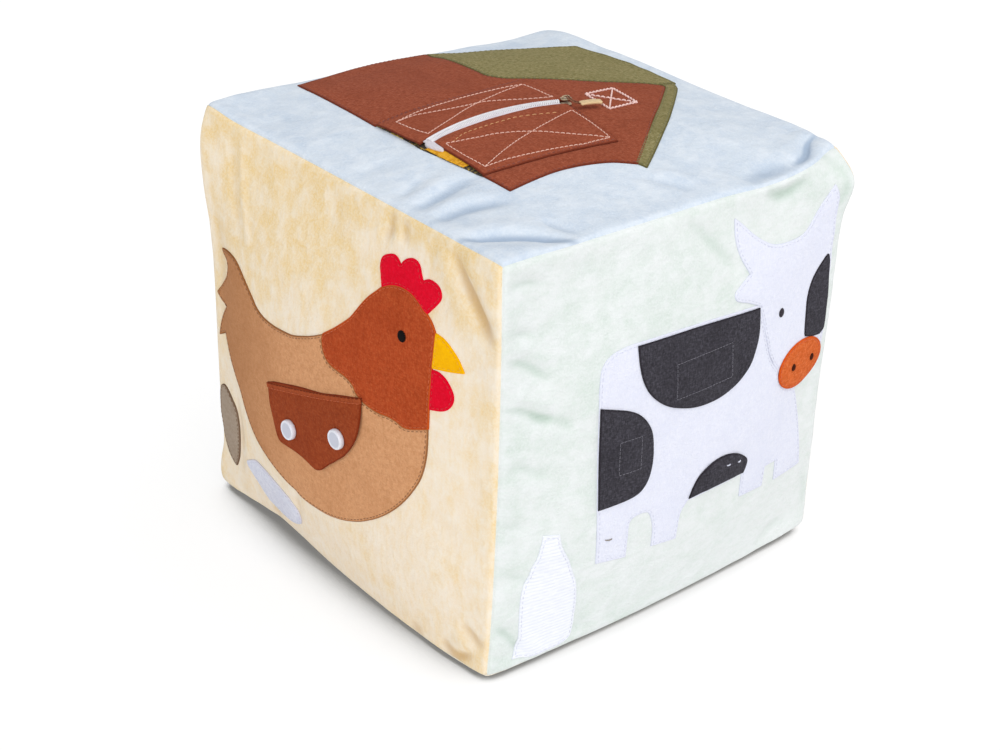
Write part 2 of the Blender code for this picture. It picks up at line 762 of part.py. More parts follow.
def make_snap(side, spot, wing_low, axis):
    half_across, half_up = half_sizes("front")
    place = spot + picture_middle("front")
    normal = face_normal("front", place.x / half_across, place.y / half_up)
    over = wing_low + felt_thickness + layer_gap
    point = on_face("front", spot.x, spot.y, over)
    rim = snap_cap_radius
    top = snap_cap_height
    flat = snap_rim_share
    profile = ((0, 0), (rim * flat, 0), (rim, top * 0.35),
               (rim * 0.97, top * 0.7), (rim * flat, top),
               (rim * 0.55, top * 0.86), (0, top * 0.8))
    solid_turned(side + "_snap_cap", profile, "snap_plastic", point, normal,
                 point, axis)
    under = wing_low - layer_gap - socket_height
    point = on_face("front", spot.x, spot.y, under)
    profile = ((socket_bore, 0), (socket_radius * 0.9, 0),
               (socket_radius, socket_height * 0.5),
               (socket_radius, socket_height), (socket_bore, socket_height))
    turned(side + "_snap_socket", profile, "snap_plastic", point, normal,
           point, axis)
    low = layer_low(1)
    point = on_face("front", spot.x, spot.y, low)
    post = stud_flange + stud_post_height
    profile = ((0, 0), (stud_radius, 0), (stud_radius, stud_flange),
               (stud_post_radius, stud_flange),
               (stud_post_radius, post * 0.85),
               (stud_post_radius * 0.75, post), (0, post))
    solid_turned(side + "_snap_stud", profile, "snap_plastic", point, normal,
                 point)


def make_cow():
    felt = felt_thickness
    first = layer_low(0)
    second = layer_low(1)
    third = layer_low(2)
    felt_piece("cow_body", "right", smooth_outline(cow_body_shares, 1),
               first, felt, "white_felt")
    felt_piece("cow_head", "right", smooth_outline(cow_head_shares, 1),
               first, felt, "white_felt")
    felt_piece("milk_bottle", "right", smooth_outline(bottle_shares),
               first, felt, "white_felt")
    felt_piece("cow_cheek_patch", "right", smooth_outline(cow_cheek_shares),
               second, felt, "charcoal_felt")
    felt_piece("cow_muzzle", "right", oval_outline(cow_muzzle_shares),
               second, felt, "orange_felt")
    felt_piece("cow_eye", "right", oval_outline(cow_eye_shares, sides=12),
               second, felt, "black_thread")
    for side, shares in zip(("left", "right"), nostril_shares):
        felt_piece(side + "_nostril", "right",
                   oval_outline(shares, sides=10), third,
                   thin_felt, "black_thread")


def make_spots():
    spots = (
        ("back", back_spot_shares, back_patch_shares),
        ("rump", rump_spot_shares, rump_patch_shares),
        ("belly", belly_spot_shares, belly_patch_shares),
    )
    low = layer_low(1)
    for name, shares, patch in spots:
        square = box_outline(patch)
        felt_piece(name + "_loop_square", "right", square, low,
                   loop_thickness, "loop_tape")
        middle = on_face("right", patch[0] * picture_unit,
                         patch[1] * picture_unit, low)
        axis = add_empty(name + "_spot_axis", middle)
        hook_low = low + loop_thickness + layer_gap
        felt_piece(name + "_hook_square", "right", square, hook_low,
                   hook_thickness, "hook_tape", None, (),
                   middle, axis)
        felt_piece(name + "_spot", "right", smooth_outline(shares), low,
                   felt_thickness, "charcoal_felt", spot_rise(patch),
                   spot_lines(patch), middle, axis)


def door_low():
    # Doors lie over the pocket lining and the hay
    return nap_gap + (thin_cloth + layer_gap) * 2


def place_on_top(point):
    # The place in the top picture that lies under a point
    place = Vector((point.x, point.y))
    for attempt in range(search_steps):
        found = on_face("top", place.x, place.y, 0)
        place += Vector((point.x - found.x, point.y - found.y))
    return place


def zip_circle():
    # Centre, axis and radius of the zip's path, and how far the slider's
    # place at rest is turned from the path's middle
    low = door_low() + zip_raise
    places = [Vector(p) * picture_unit for p in zip_path_shares]
    lower, middle, upper = [on_face("top", p.x, p.y, low) for p in places]
    first = middle - lower
    second = upper - lower
    across = first.cross(second)
    offset = second * first.length_squared - first * second.length_squared
    offset = offset.cross(across) / (2 * across.length_squared)
    centre = lower + offset
    turn = (middle - centre).angle(upper - centre)
    return centre, -across.normalized(), offset.length, turn


def zip_middle():
    # Arm from the centre and upward direction at the path's middle
    centre, axis, radius, rest_turn = zip_circle()
    place = Vector(zip_path_shares[1]) * picture_unit
    arm = on_face("top", place.x, place.y, door_low() + zip_raise) - centre
    forward = arm.cross(axis).normalized()
    half_across, half_up = half_sizes("top")
    place += picture_middle("top")
    normal = face_normal("top", place.x / half_across, place.y / half_up)
    upward = (normal - forward * normal.dot(forward)).normalized()
    return arm, upward


def arc_frame(distance):
    # Point, upward and forward directions and the direction to the right,
    # at a distance below the slider's place at rest
    centre, axis, radius, rest_turn = zip_circle()
    arm, upward = zip_middle()
    turn = Matrix.Rotation(distance / radius - rest_turn, 3, axis)
    arm = turn @ arm
    upward = turn @ upward
    forward = arm.cross(axis).normalized()
    return centre + arm, upward, forward, forward.cross(upward)


def swept_strip(name, section, first, last, colour, origin, parent):
    # Sweep a section of across and height pairs along the zip's path
    points = []
    faces = []
    count = len(section)
    for i in range(zip_steps + 1):
        distance = last + (first - last) * i / zip_steps
        middle, upward, forward, side = arc_frame(distance)
        for across, height in section:
            points.append(middle + side * across + upward * height)
    for i in range(zip_steps):
        for k in range(count):
            m = (k + 1) % count
            faces.append((i * count + k, i * count + m,
                          (i + 1) * count + m, (i + 1) * count + k))
    faces.append(tuple(reversed(range(count))))
    faces.append(tuple(range(zip_steps * count, (zip_steps + 1) * count)))
    return add_object(name, points, faces, colour, origin, parent)


def make_door(side, sign, shares, start):
    # shares holds the upper and lower ends of the sewn edge
    low = door_low()
    hinge = [Vector(p) * picture_unit for p in shares]
    first, last = hinge_line("top", hinge[0], hinge[1],
                             low + felt_thickness)
    axis = add_empty(side + "_door_axis", (first + last) / 2)
    origin = axis.location.copy()
    coil_outer = coil_gap + coil_width
    tape_inner = coil_outer + layer_gap
    tape_outer = tape_inner + tape_width
    outline = list(hinge)
    for i in range(zip_steps + 1):
        distance = door_end + (start - door_end) * i / zip_steps
        middle, upward, forward, right = arc_frame(distance)
        edge = middle + right * sign * (tape_outer + layer_gap)
        outline.append(place_on_top(edge))
    felt_piece(side + "_door", "top", outline, low, felt_thickness,
               "brick_felt", None, (), origin, axis)
    tape = [(sign * tape_inner, 0), (sign * tape_outer, 0),
            (sign * tape_outer, tape_thickness),
            (sign * tape_inner, tape_thickness)]
    coil = [(sign * coil_gap, 0), (sign * coil_outer, 0),
            (sign * coil_outer, coil_height * 0.6),
            (sign * (coil_gap + coil_width * 0.6), coil_height),
            (sign * coil_gap, coil_height)]
    if sign > 0:
        tape = tape[::-1]
        coil = coil[::-1]
    swept_strip(side + "_zip_tape", tape, coil_start, coil_end,
                "zip_white", origin, axis)
    swept_strip(side + "_zip_coil", coil, coil_start, coil_end,
                "zip_white", origin, axis)


def make_barn():
    felt = felt_thickness
    first = layer_low(0)
    felt_piece("barn_wall", "top", smooth_outline(barn_wall_shares, 1),
               first, felt, "brick_felt")
    felt_piece("barn_roof", "top", smooth_outline(barn_roof_shares, 1),
               first, felt, "olive_felt")
    felt_piece("roof_edge", "top", smooth_outline(roof_edge_shares, 1),
               first, felt, "olive_felt")
    felt_piece("pocket_lining", "top",
               smooth_outline(pocket_lining_shares, 1), first,
               thin_cloth, "dark_lining")
    second = first + thin_cloth + layer_gap
    felt_piece("hay_felt", "top", smooth_outline(hay_shares, 1), second,
               thin_cloth, "yellow_felt")
    felt_piece("zip_foot", "top", smooth_outline(zip_foot_shares, 1),
               second, thin_cloth, "zip_white")
    make_door("left", -1, left_door_shares, left_door_start)
    make_door("right", 1, right_door_shares, right_door_start)


def slider_section():
    # Upper plate, thin web and under plate, as across and height pairs
    top_low = coil_height + layer_gap
    top = top_low + slider_plate
    under_top = -layer_gap
    under = under_top - slider_under_plate
    wide = slider_width / 2
    narrow = slider_under_width / 2
    web = slider_web / 2
    return [(-narrow, under), (narrow, under), (narrow, under_top),
            (web, under_top), (web, top_low), (wide, top_low),
            (wide, top), (-wide, top), (-wide, top_low), (-web, top_low),
            (-web, under_top), (-narrow, under_top)]


def make_slider():
    axis = add_empty("zip_path_axis", zip_circle()[0])
    middle, outward, forward, side = arc_frame(0.0)
    start = middle - forward * slider_length / 2
    loop = [start + side * x + outward * z for x, z in slider_section()]
    points, faces = prism(loop, forward * slider_length)
    # The end towards the meshed coil is narrower
    for i in range(len(loop)):
        offset = (points[i] - start).dot(side)
        if abs(offset) > slider_web:
            points[i] = points[i] - side * offset * (1 - slider_neck_share)
    slider = add_object("zip_slider", points, faces, "slider_metal",
                        middle, axis)
    plate_top = coil_height + layer_gap + slider_plate
    bridge = make_bridge(middle, outward, forward, side, plate_top, axis)
    union = slider.modifiers.new("bridge", "BOOLEAN")
    union.operation = "UNION"
    union.solver = "EXACT"
    union.object = bridge
    return plate_top


def make_bridge(middle, outward, forward, side, plate_top, axis):
    # An arch over the slider that holds the pull's bail
    half = bridge_length / 2
    inner = half - bridge_thickness
    sunk = -slider_plate / 2
    arch = [(-half, sunk), (-half, bridge_height * 0.7),
            (-inner * 0.8, bridge_height), (inner * 0.8, bridge_height),
            (half, bridge_height * 0.7), (half, sunk), (inner, sunk),
            (inner, bridge_height * 0.55),
            (inner * 0.6, bridge_height - bridge_thickness),
            (-inner * 0.6, bridge_height - bridge_thickness),
            (-inner, bridge_height * 0.55), (-inner, sunk)]
    base = middle + outward * plate_top - side * bridge_width / 2
    loop = [base + forward * y + outward * z for y, z in arch]
    points, faces = prism(loop[::-1], side * bridge_width)
    bridge = add_object("bridge_tool", points, faces, "slider_metal",
                        middle, axis)
    bridge.hide_render = True
    bridge.display_type = "WIRE"
    return bridge


def make_pull():
    plate_top = make_slider()
    middle, outward, forward, side = arc_frame(0.0)
    height = (bridge_height - bridge_thickness) / 2
    pivot = middle + outward * (plate_top + height)
    turn = add_empty("zip_pull_axis", pivot)
    # The pull lies turned to the right of the slider
    aside = Matrix.Rotation(-pull_turn, 3, outward)
    forward = aside @ forward
    side = aside @ side
    tilt = Matrix.Rotation(bail_tilt, 3, side)
    run = tilt @ forward
    lift = tilt @ outward
    half = bail_bar / 2
    reach = bail_inner_length + bail_bar
    outer = bail_inner_width / 2 + bail_bar
    inner = bail_inner_width / 2
    rings = ((outer, -half, reach + half), (inner, half, reach - half))
    points = []
    for level in (-half, half):
        for wide, near, far in rings:
            for x, y in ((-wide, near), (wide, near), (wide, far),
                         (-wide, far)):
                points.append(pivot + side * x + run * y + lift * level)
    faces = []
    for i in range(4):
        m = (i + 1) % 4
        faces.append((4 + i, 4 + m, m, i))
        faces.append((8 + i, 8 + m, 12 + m, 12 + i))
        faces.append((i, m, 8 + m, 8 + i))
        faces.append((4 + m, 4 + i, 12 + i, 12 + m))
    add_object("zip_bail", points, faces, "slider_metal", pivot, turn)
    # A ribbon folded round the far bar of the bail
    inside = half + layer_gap
    outside = inside + tab_thickness
    near = reach - half - layer_gap
    fold = near - tab_thickness
    far = fold + tab_length
    loop = [(near, -inside), (far, -inside), (far, -outside),
            (fold + tab_thickness * 0.4, -outside), (fold, -inside),
            (fold, inside), (fold + tab_thickness * 0.4, outside),
            (far, outside), (far, inside), (near, inside)]
    base = pivot - side * bail_inner_width / 2 * ribbon_share
    ribbon = [base + run * y + lift * z for y, z in loop]
    points, faces = prism(ribbon, side * bail_inner_width * ribbon_share)
    add_object("zip_tab", points, faces, "tan_ribbon", pivot, turn)


clear_scene()
make_panels()
make_hen()
make_wing()
make_cow()
make_spots()
make_barn()
make_pull()
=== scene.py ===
# Soft play block, dressed: velour sides over a stuffed cube, with sewn felt
# farm pictures, a snap-down wing, pull-off spots and zipped barn doors.
# Lengths on the cloth are in millimetres, from the middle of each side;
# points in space are in metres.
from math import ceil, cos, pi, sin, sqrt
import bpy
import numpy as np
from mathutils import Matrix, Vector
from mathutils.geometry import delaunay_2d_cdt
from mathutils.kdtree import KDTree


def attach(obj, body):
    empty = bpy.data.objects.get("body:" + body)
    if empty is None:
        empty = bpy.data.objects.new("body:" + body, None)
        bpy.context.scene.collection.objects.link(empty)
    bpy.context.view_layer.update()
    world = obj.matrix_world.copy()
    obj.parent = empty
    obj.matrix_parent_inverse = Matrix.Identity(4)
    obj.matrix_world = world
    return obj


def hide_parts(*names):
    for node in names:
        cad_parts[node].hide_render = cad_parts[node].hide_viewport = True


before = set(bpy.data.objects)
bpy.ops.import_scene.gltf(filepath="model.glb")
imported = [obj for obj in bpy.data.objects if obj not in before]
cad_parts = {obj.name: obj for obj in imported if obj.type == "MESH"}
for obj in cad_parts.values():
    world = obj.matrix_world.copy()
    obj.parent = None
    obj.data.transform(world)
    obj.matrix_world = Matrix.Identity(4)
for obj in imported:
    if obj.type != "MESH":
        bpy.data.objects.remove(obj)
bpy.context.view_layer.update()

MM = 0.001

# ---------------------------------------------------------------- the cube
# The same sizes as the CAD source
SIZES = np.array((0.210, 0.207, 0.200))
BOTTOM_LIFT = 0.004
CROWNS = {"front": 0.0128, "right": 0.0119, "top": 0.0104,
          "back": 0.009, "left": 0.009, "base": 0.010}
CROWN_POWER = 2.4
SAG = 0.18
SEAM_BENDS = {
    "front top": (0, 3, -2), "left top": (-6, 0, -3), "right top": (-1, 0, -2),
    "back top": (0, -3, 3), "front right": (1, 1, 0), "front left": (1, -1, 0),
    "back right": (2, -6, 0), "back left": (-1, -1, 0),
    "base front": (0, -2, -1.5), "base left": (-1, 0, -1.5),
    "base right": (2, 0, -1.5), "back base": (0, 1, -1.5),
}
EAR = (-3, -2.5, 2.5)
FACES = {
    "front": ((0, -1, 0), (1, 0, 0), (0, 0, 1)),
    "right": ((1, 0, 0), (0, 1, 0), (0, 0, 1)),
    "top": ((0, 0, 1), (1, 0, 0), (0, 1, 0)),
    "back": ((0, 1, 0), (-1, 0, 0), (0, 0, 1)),
    "left": ((-1, 0, 0), (0, -1, 0), (0, 0, 1)),
    "base": ((0, 0, -1), (1, 0, 0), (0, -1, 0)),
}
FACES = {name: [np.array(axis, float) for axis in axes]
         for name, axes in FACES.items()}
# Where the middle of each picture sits on its side
MIDDLES = {"front": (1.5, 1.0), "right": (-1.8, 1.0), "top": (1.2, -1.1)}

# Outlines of the pictures, in millimetres from each picture's middle; a point
# given twice is a sharp corner
HEN_BODY = (
    (-3.6, 28.9), (-3.6, 28.9), (-9.8, 25.6), (-15.8, 22.9), (-26.3, 19),
    (-36.1, 17.4), (-43.4, 16.7), (-52.2, 17.1), (-58.4, 19.4), (-61.7, 22.3),
    (-66.4, 25.9), (-71.2, 29.7), (-76.3, 33.3), (-81.6, 34.8), (-88.1, 34.6),
    (-94.3, 33.1), (-94.3, 33.1), (-92.6, 31.3), (-88.4, 29.8), (-87.4, 26.4),
    (-89.7, 21.1), (-94.5, 15.5), (-101.2, 7.9), (-101.2, 7.9), (-96.5, 5.4),
    (-91.1, 4.6), (-91.1, 4.6), (-95.8, -1.4), (-98.6, -7.6), (-100.8, -14.7),
    (-100.8, -14.7), (-93.4, -10.2), (-93.4, -10.2), (-91.3, -14.3),
    (-87.6, -20.5), (-81.7, -27.4), (-75.9, -33), (-71.4, -39.8),
    (-66.8, -46.7), (-61.2, -52.7), (-52.2, -57.4), (-43.2, -60.4),
    (-32.6, -62.5), (-21.4, -64), (-9.9, -63.6), (1.3, -61.9), (11.8, -59),
    (21.5, -55.1), (28.9, -51.1), (38.2, -44.8), (47.1, -37), (54.3, -28.9),
    (59.7, -20.8), (63.6, -13.3), (65.9, -4.9), (66.7, 2.8), (66.6, 11.7),
    (66.6, 11.7), (56.7, 7.9), (52.1, 7.1), (48.4, 8), (43.2, 8.4),
    (37.1, 7.7), (31.1, 8.1), (26, 9.1), (22, 11), (19.5, 13.9), (15.2, 15.6),
    (9.3, 16.4), (3, 17.5), (-1.5, 20.7), (-3.9, 26))
HEN_HEAD = (
    (-3.7, 29.2), (-3.7, 29.2), (2.3, 33.7), (8.5, 38.9), (13.4, 43.5),
    (17, 48.2), (20.3, 52.7), (24.2, 57.2), (28.1, 60.8), (31.9, 64.2),
    (36.9, 66.9), (42.1, 68.3), (47, 68.6), (51.5, 68), (55.6, 66.3),
    (59, 64), (61.2, 63), (61.2, 63), (64, 61), (66.3, 58.2), (67.2, 56.5),
    (67.1, 52.1), (66.8, 45.9), (66.6, 38.2), (66.4, 30.4), (66.5, 22.6),
    (66.9, 12), (66.9, 12), (56.7, 7.9), (52.3, 7.3), (48.6, 8.2),
    (43.3, 8.6), (37.3, 8), (31.3, 8.3), (26.2, 9.3), (22.2, 11.3),
    (19.7, 14.1), (15.4, 15.9), (9.5, 16.7), (3.2, 17.8), (-1.3, 20.9),
    (-3.7, 26.3))
HEN_COMB = (
    (31.9, 64.3), (31.9, 64.3), (30.1, 69.4), (29, 73), (29.5, 76.4),
    (32.2, 78.6), (36.1, 80), (38.8, 79.5), (41.6, 77.3), (41.6, 77.3),
    (42.8, 79.3), (45.1, 81.2), (48.1, 82.4), (51.3, 82.3), (53.4, 80.8),
    (54.8, 78.2), (56.3, 75.6), (56.3, 75.6), (59.9, 77.4), (63.4, 77.6),
    (66.8, 76.7), (68.5, 74.8), (68.6, 72.2), (66.7, 69.3), (61.4, 63.2),
    (61.4, 63.2), (58.9, 64.2), (55.4, 66.4), (51.3, 68.1), (46.8, 68.7),
    (41.9, 68.4), (36.9, 67))
HEN_BEAK = (
    (67.6, 56.5), (67.6, 56.5), (71.2, 55.9), (74.4, 54.5), (78.2, 51.8),
    (81.2, 49.1), (84.4, 44.6), (84.4, 44.6), (79.7, 43.3), (74.2, 42),
    (66.8, 40.7), (66.8, 40.7))
HEN_WATTLE = (
    (66.7, 39.6), (66.7, 39.6), (70.6, 39.7), (74.5, 38.1), (77.5, 35.3),
    (79.4, 32), (79.1, 28.5), (76.7, 25.1), (73.2, 23.1), (66.9, 21.4),
    (66.9, 21.4))
HEN_WING = (
    (-45.9, -13), (-45.9, -13), (-39.4, -10), (-18.6, -3), (-1, 1.8),
    (11.8, 6.3), (26.5, 10.8), (26.5, 10.8), (27.7, 1.3), (26.9, -4.5),
    (25, -10.3), (21.9, -15.7), (17, -21.9), (11.1, -27.3), (5.2, -32.3),
    (1.4, -36.1), (-1.6, -38), (-4.5, -38.6), (-11.8, -37.4), (-19.8, -37.1),
    (-28.2, -37.7), (-33, -37.7), (-35.8, -34.9), (-38.5, -29.1),
    (-41.6, -21.8))
HEN_EYE = (48.3, 48.4, 2.6, 2.5)
TAUPE_EGG = (
    (-97.3, -41.2), (-90.7, -43.2), (-85.1, -47.8), (-83.7, -56.5),
    (-85, -65.9), (-87.3, -76.1), (-89.4, -82.3), (-90.5, -83.9),
    (-94.4, -82.4), (-99, -79), (-102.6, -70.7), (-104.4, -64), (-104.6, -52),
    (-102.2, -44))
WHITE_EGG = (
    (-76.4, -72.8), (-67.5, -68.1), (-58.9, -68.2), (-50.9, -69.4),
    (-43.3, -71), (-36.1, -72.9), (-31.2, -76.3), (-29.3, -80.6),
    (-29.6, -85), (-32.5, -87.5), (-39.5, -90.2), (-48.6, -90),
    (-57.8, -88.6), (-64, -84.4), (-70.7, -80), (-75.3, -76.1),
    (-76.6, -74.2))
COW_BODY = (
    (-52.2, 0), (-52.3, 24.2), (-52.2, 33.3), (-50.8, 42), (-46, 46.6),
    (-38.5, 48.3), (-31.3, 48.6), (9.8, 47), (45.6, 44.5), (45.6, 44.5),
    (48.6, 37.8), (51.8, 28), (55.2, 18.1), (59, 11.5), (62.3, 7.5),
    (65.6, -0.2), (72.5, -6.2), (79.8, -8), (79.8, -8), (84, -18.3),
    (87.3, -30), (89.8, -43.3), (92.3, -56.3), (92.3, -56.3),
    (70, -55.5), (70, -55.5), (69.5, -44), (69.5, -44),
    (60.5, -43.5), (60.5, -43.5), (60, -54.5), (60, -54.5),
    (42.5, -52.8), (42.5, -52.8), (42, -39.5), (42, -39.5),
    (4, -39.2), (4, -39.2), (-0.5, -45), (-1.3, -58.3), (-1.3, -58.3),
    (-16.8, -56.7), (-16.8, -56.7), (-17.7, -45), (-21.8, -36.2),
    (-31.8, -37), (-32.7, -46.7), (-32.3, -57.2), (-32.3, -57.2),
    (-49.3, -55), (-49.3, -55), (-51.4, -26.7))
COW_HEAD = (
    (46.1, 44.7), (46.1, 44.7), (38.2, 48.3), (31.2, 51), (30.2, 54.6),
    (39.8, 60.8), (39.8, 60.8), (34.2, 69.4), (30.6, 78.3),
    (29.8, 88), (29.8, 88), (34.8, 84.2), (41.5, 78.3), (49.8, 72.5),
    (56.5, 69.4), (64, 68.2), (73, 68.2), (79, 70.2), (85.4, 77.2),
    (93.4, 87), (93.4, 87), (97.2, 80), (98.8, 70), (99.3, 58),
    (99.5, 30), (99.3, 6), (95.5, -1.5), (90.5, -5), (82, -7),
    (74, -5.8), (66.8, -0.2), (63.1, 7.2), (59.6, 11.9), (55.8, 18.4),
    (52.4, 28.2), (49.2, 37.8))
COW_CHEEK = (
    (97, 53), (92, 50.7), (85.7, 44.2), (83, 36.6), (82.7, 28), (83, 18.9),
    (83.7, 16.8), (83.7, 16.8), (91, 14.3), (96.3, 13.3), (96.3, 13.3),
    (99.1, 15.7), (99.3, 27.2), (98.9, 39.8))
COW_MUZZLE = (81.2, 4.3, 17.6, 11.8)
NOSTRIL = ((74.6, 4.6, 1.4, 1.7), (90.6, 3.9, 1.4, 1.7))
COW_EYE = (62.6, 36.0, 1.8, 2.1)
BOTTLE = (
    (-79, -31.8), (-79, -31.8), (-70.9, -33.2), (-70.9, -33.2),
    (-69.9, -38.3), (-67.5, -43.6), (-64.9, -48.5), (-62.5, -54.8),
    (-60, -60.6), (-58.4, -67), (-57.4, -74.7), (-57, -82.3), (-56.1, -90.8),
    (-56.6, -94.4), (-59, -96.6), (-65, -97.6), (-72.4, -97.8), (-81, -97),
    (-89, -95.1), (-89, -95.1), (-87.9, -92.4), (-86.6, -86.2),
    (-87.2, -79.3), (-87.8, -72.1), (-88.1, -65.3), (-88, -59.9),
    (-86.8, -56), (-85, -52.3), (-83.6, -47.2), (-81.1, -42.6),
    (-80.1, -38.3), (-79.2, -34.3))
BACK_SPOT = (
    (-31.3, 47.8), (-31.3, 47.8), (9.8, 46.2), (46, 43.7), (46, 43.7),
    (46.4, 33.3), (44.6, 25), (40.3, 17.5), (33, 12.6), (23.2, 9.6),
    (13.2, 8.7), (3.2, 9.5), (-6, 11.9), (-15.2, 15.9),
    (-23, 22.2), (-27.9, 29.6), (-30.4, 38.3))
RUMP_SPOT = (
    (-52.3, 24.2), (-52.3, 24.2), (-45, 22), (-36.8, 19.3), (-30.6, 16),
    (-25.6, 11), (-22.3, 4.6), (-21.2, -4), (-21.5, -12),
    (-23.8, -19), (-28, -23.4), (-35.2, -25.2), (-51.6, -25.8),
    (-51.6, -25.8), (-52.2, 0))
BELLY_SPOT = (
    (4, -38.3), (4, -38.3), (6.2, -33.2), (10.4, -27.8), (17, -24.2),
    (25.4, -23), (33.6, -24.6), (40, -28.2), (44, -32.6), (42, -38.8),
    (42, -38.8), (29.8, -38.0), (16.5, -38.0))
# Middle and half sizes of the hook-and-loop squares
BACK_PATCH = (8.6, 25.5, 17.5, 8.5)
RUMP_PATCH = (-36.5, -2.5, 6.5, 8.2)
BELLY_PATCH = (25, -31.2, 9.5, 3.4)
# The wall is cut away under the doors
BARN_WALL = (
    (-104.2, 28.1), (-104.2, 28.1), (-47.8, 19.2), (-47.8, 19.2),
    (-37.1, 23), (-19, 46.2), (2.5, 79.6), (6, 83.4), (9.7, 81.4),
    (27, 61.2), (38.6, 45.6), (59.6, 18.9), (68.6, 6.5), (68.6, 6.5),
    (61.7, -3.2), (57.6, -16.6), (55.7, -30.1), (55.9, -43.3),
    (57.1, -58.2), (57.1, -58.2), (39.6, -58.7), (39.6, -58.7),
    (48.2, 12.4), (48.2, 12.4), (9.6, 20.6), (9.6, 20.6), (4.4, 21.8),
    (4.4, 21.8), (-30.1, 25), (-30.1, 25), (-30.1, -61.8), (-30.1, -61.8),
    (-61.9, -57.6), (-98.9, -52.8), (-98.9, -52.8), (-103.2, -24.9), (-104.2, 1.1))
BARN_ROOF = (
    (-104.2, 28.8), (-104.2, 28.8), (-47.8, 19.8), (-47.8, 19.8),
    (-37.3, 23.6), (-19.4, 46.6), (2, 79.9), (4, 83.2), (3.8, 93.8),
    (3.8, 93.8), (-34.2, 95), (-67.2, 92.6), (-67.2, 92.6))
ROOF_EDGE = (
    (4.1, 93), (4.1, 93), (5.6, 91.9), (10.9, 88.2), (24.2, 73.5),
    (40.8, 53.5), (51, 39.5), (59.3, 27.7), (66.7, 16.8), (72.7, 7.6),
    (72.7, 7.6), (67.2, 6.2), (67.2, 6.2), (57.4, 19.6), (45.7, 36.3),
    (26.1, 62.1), (10, 81.4), (7.4, 83.8), (4.4, 84.2), (4.4, 84.2))
POCKET_LINING = (
    (-30.6, -61.3), (-30.6, -61.3), (-6, -62.4), (4.8, -63.2), (29.3, -60.9),
    (40.4, -59.2), (40.4, -59.2), (48.7, 12.9), (48.7, 12.9), (9.8, 21.1),
    (9.8, 21.1), (4.6, 22.3), (4.6, 22.3), (-30.6, 25.5), (-30.6, 25.5))
HAY = (
    (5.8, -62.5), (5.8, -62.5), (12.5, -62.4), (21.4, -62.1), (29.6, -61),
    (29.6, -61), (29.4, -51), (24, -47), (16, -46), (9, -49), (7, -52),
    (7, -52))
ZIP_FOOT = (
    (1.4, -58.5), (1.4, -58.5), (3.5, -56.3), (8.6, -57), (12.9, -57.7),
    (13.6, -59.1), (10.1, -60.4), (6.5, -61), (3.5, -60.6))
# Upper and lower ends of the doors' sewn edges
LEFT_DOOR = ((-29.6, 24.4), (-29.6, -61.8))
RIGHT_DOOR = ((49.6, 12.8), (41.0, -58.9))
# Three places on the zip: its foot, its bend and the slider at rest
ZIP_PATH = ((3.4, -59), (-0.6, -19.6), (7.2, 20.6))

# ------------------------------------------------------------ the cloth grid
GRID = 141
EDGE_CROWDING = 0.55
SMOOTH_REACH = 9.0
SMOOTH_ROUNDS = 26
CORNER_ROUNDS = 90
# How far and how much each corner is rounded
CORNERS = (
    ((1, 1, 1), 13, 1.0), ((-1, -1, 1), 9, 0.7), ((1, -1, 1), 9, 0.5),
    ((-1, 1, 1), 12, 0.8), ((1, 1, -1), 12, 0.8), ((-1, -1, -1), 11, 0.8),
    ((1, -1, -1), 9, 0.6), ((-1, 1, -1), 12, 0.9),
)
# What the rounding takes off the seams and is given back
REGAIN = 1.1
REGAIN_REACH = 9.0
GROOVE_DEPTH = 0.8
GROOVE_WIDTH = 1.2

# Places where the cloth stands out or slides: middle, reach and move, all in
# millimetres
PUSHES = (
    # The far right corner, whose top seam turns in over the corner
    ((105, 103.5, 205), (16, 17, 7), (-9.5, -1.0, 0.5)),
    ((105, 52, 204), (16, 22, 12), (1.4, 0.0, -1.4)),
    ((105, 103.5, 191), (14, 14, 10), (4.0, 3.4, 0.0)),
    ((105, 103.5, 130), (14, 14, 45), (0.9, 0.8, 0.0)),
    # The near left ear and the swell below it
    ((-108, -106, 206.5), (16, 16, 8), (1.9, 1.3, 1.3)),
    ((-105, -103.5, 180), (30, 30, 32), (-1.8, -2.1, 0.0)),
    ((-105, -103.5, 10), (20, 20, 12), (-2.6, -2.6, -1.2)),
    ((-105, -103.5, 34), (18, 24, 16), (0.5, 0.6, 0.0)),
    ((-105, -103.5, 122), (20, 24, 40), (0.8, 0.7, 0.0)),
    # The lower front edge, off the floor between the corners
    ((-48, -103.5, 4), (30, 16, 10), (0.0, 0.9, 3.6)),
    ((-14, -103.5, 4), (24, 16, 10), (0.0, 0.3, 0.3)),
    # The far left corner's hump and the dip beside it
    ((-88, 103.5, 206), (22, 22, 20), (0.0, 0.0, 2.6)),
    ((-40, 103.5, 206), (30, 20, 20), (0.0, 0.0, 1.4)),
    ((-105, 80, 205), (20, 20, 15), (0.0, 0.0, -1.8)),
    # The left top edge
    ((-105, 5, 205), (50, 60, 20), (0.0, 0.0, 1.0)),
    ((-105, -78, 205), (20, 24, 16), (0.0, 0.0, 0.9)),
    # The near end of the lower front edge
    ((72, -103.5, 3), (42, 20, 22), (0.4, -1.5, -0.8)),
    # The right end of the far top edge
    ((72, 103.5, 205), (24, 20, 16), (0.0, 0.0, 1.2)),
)

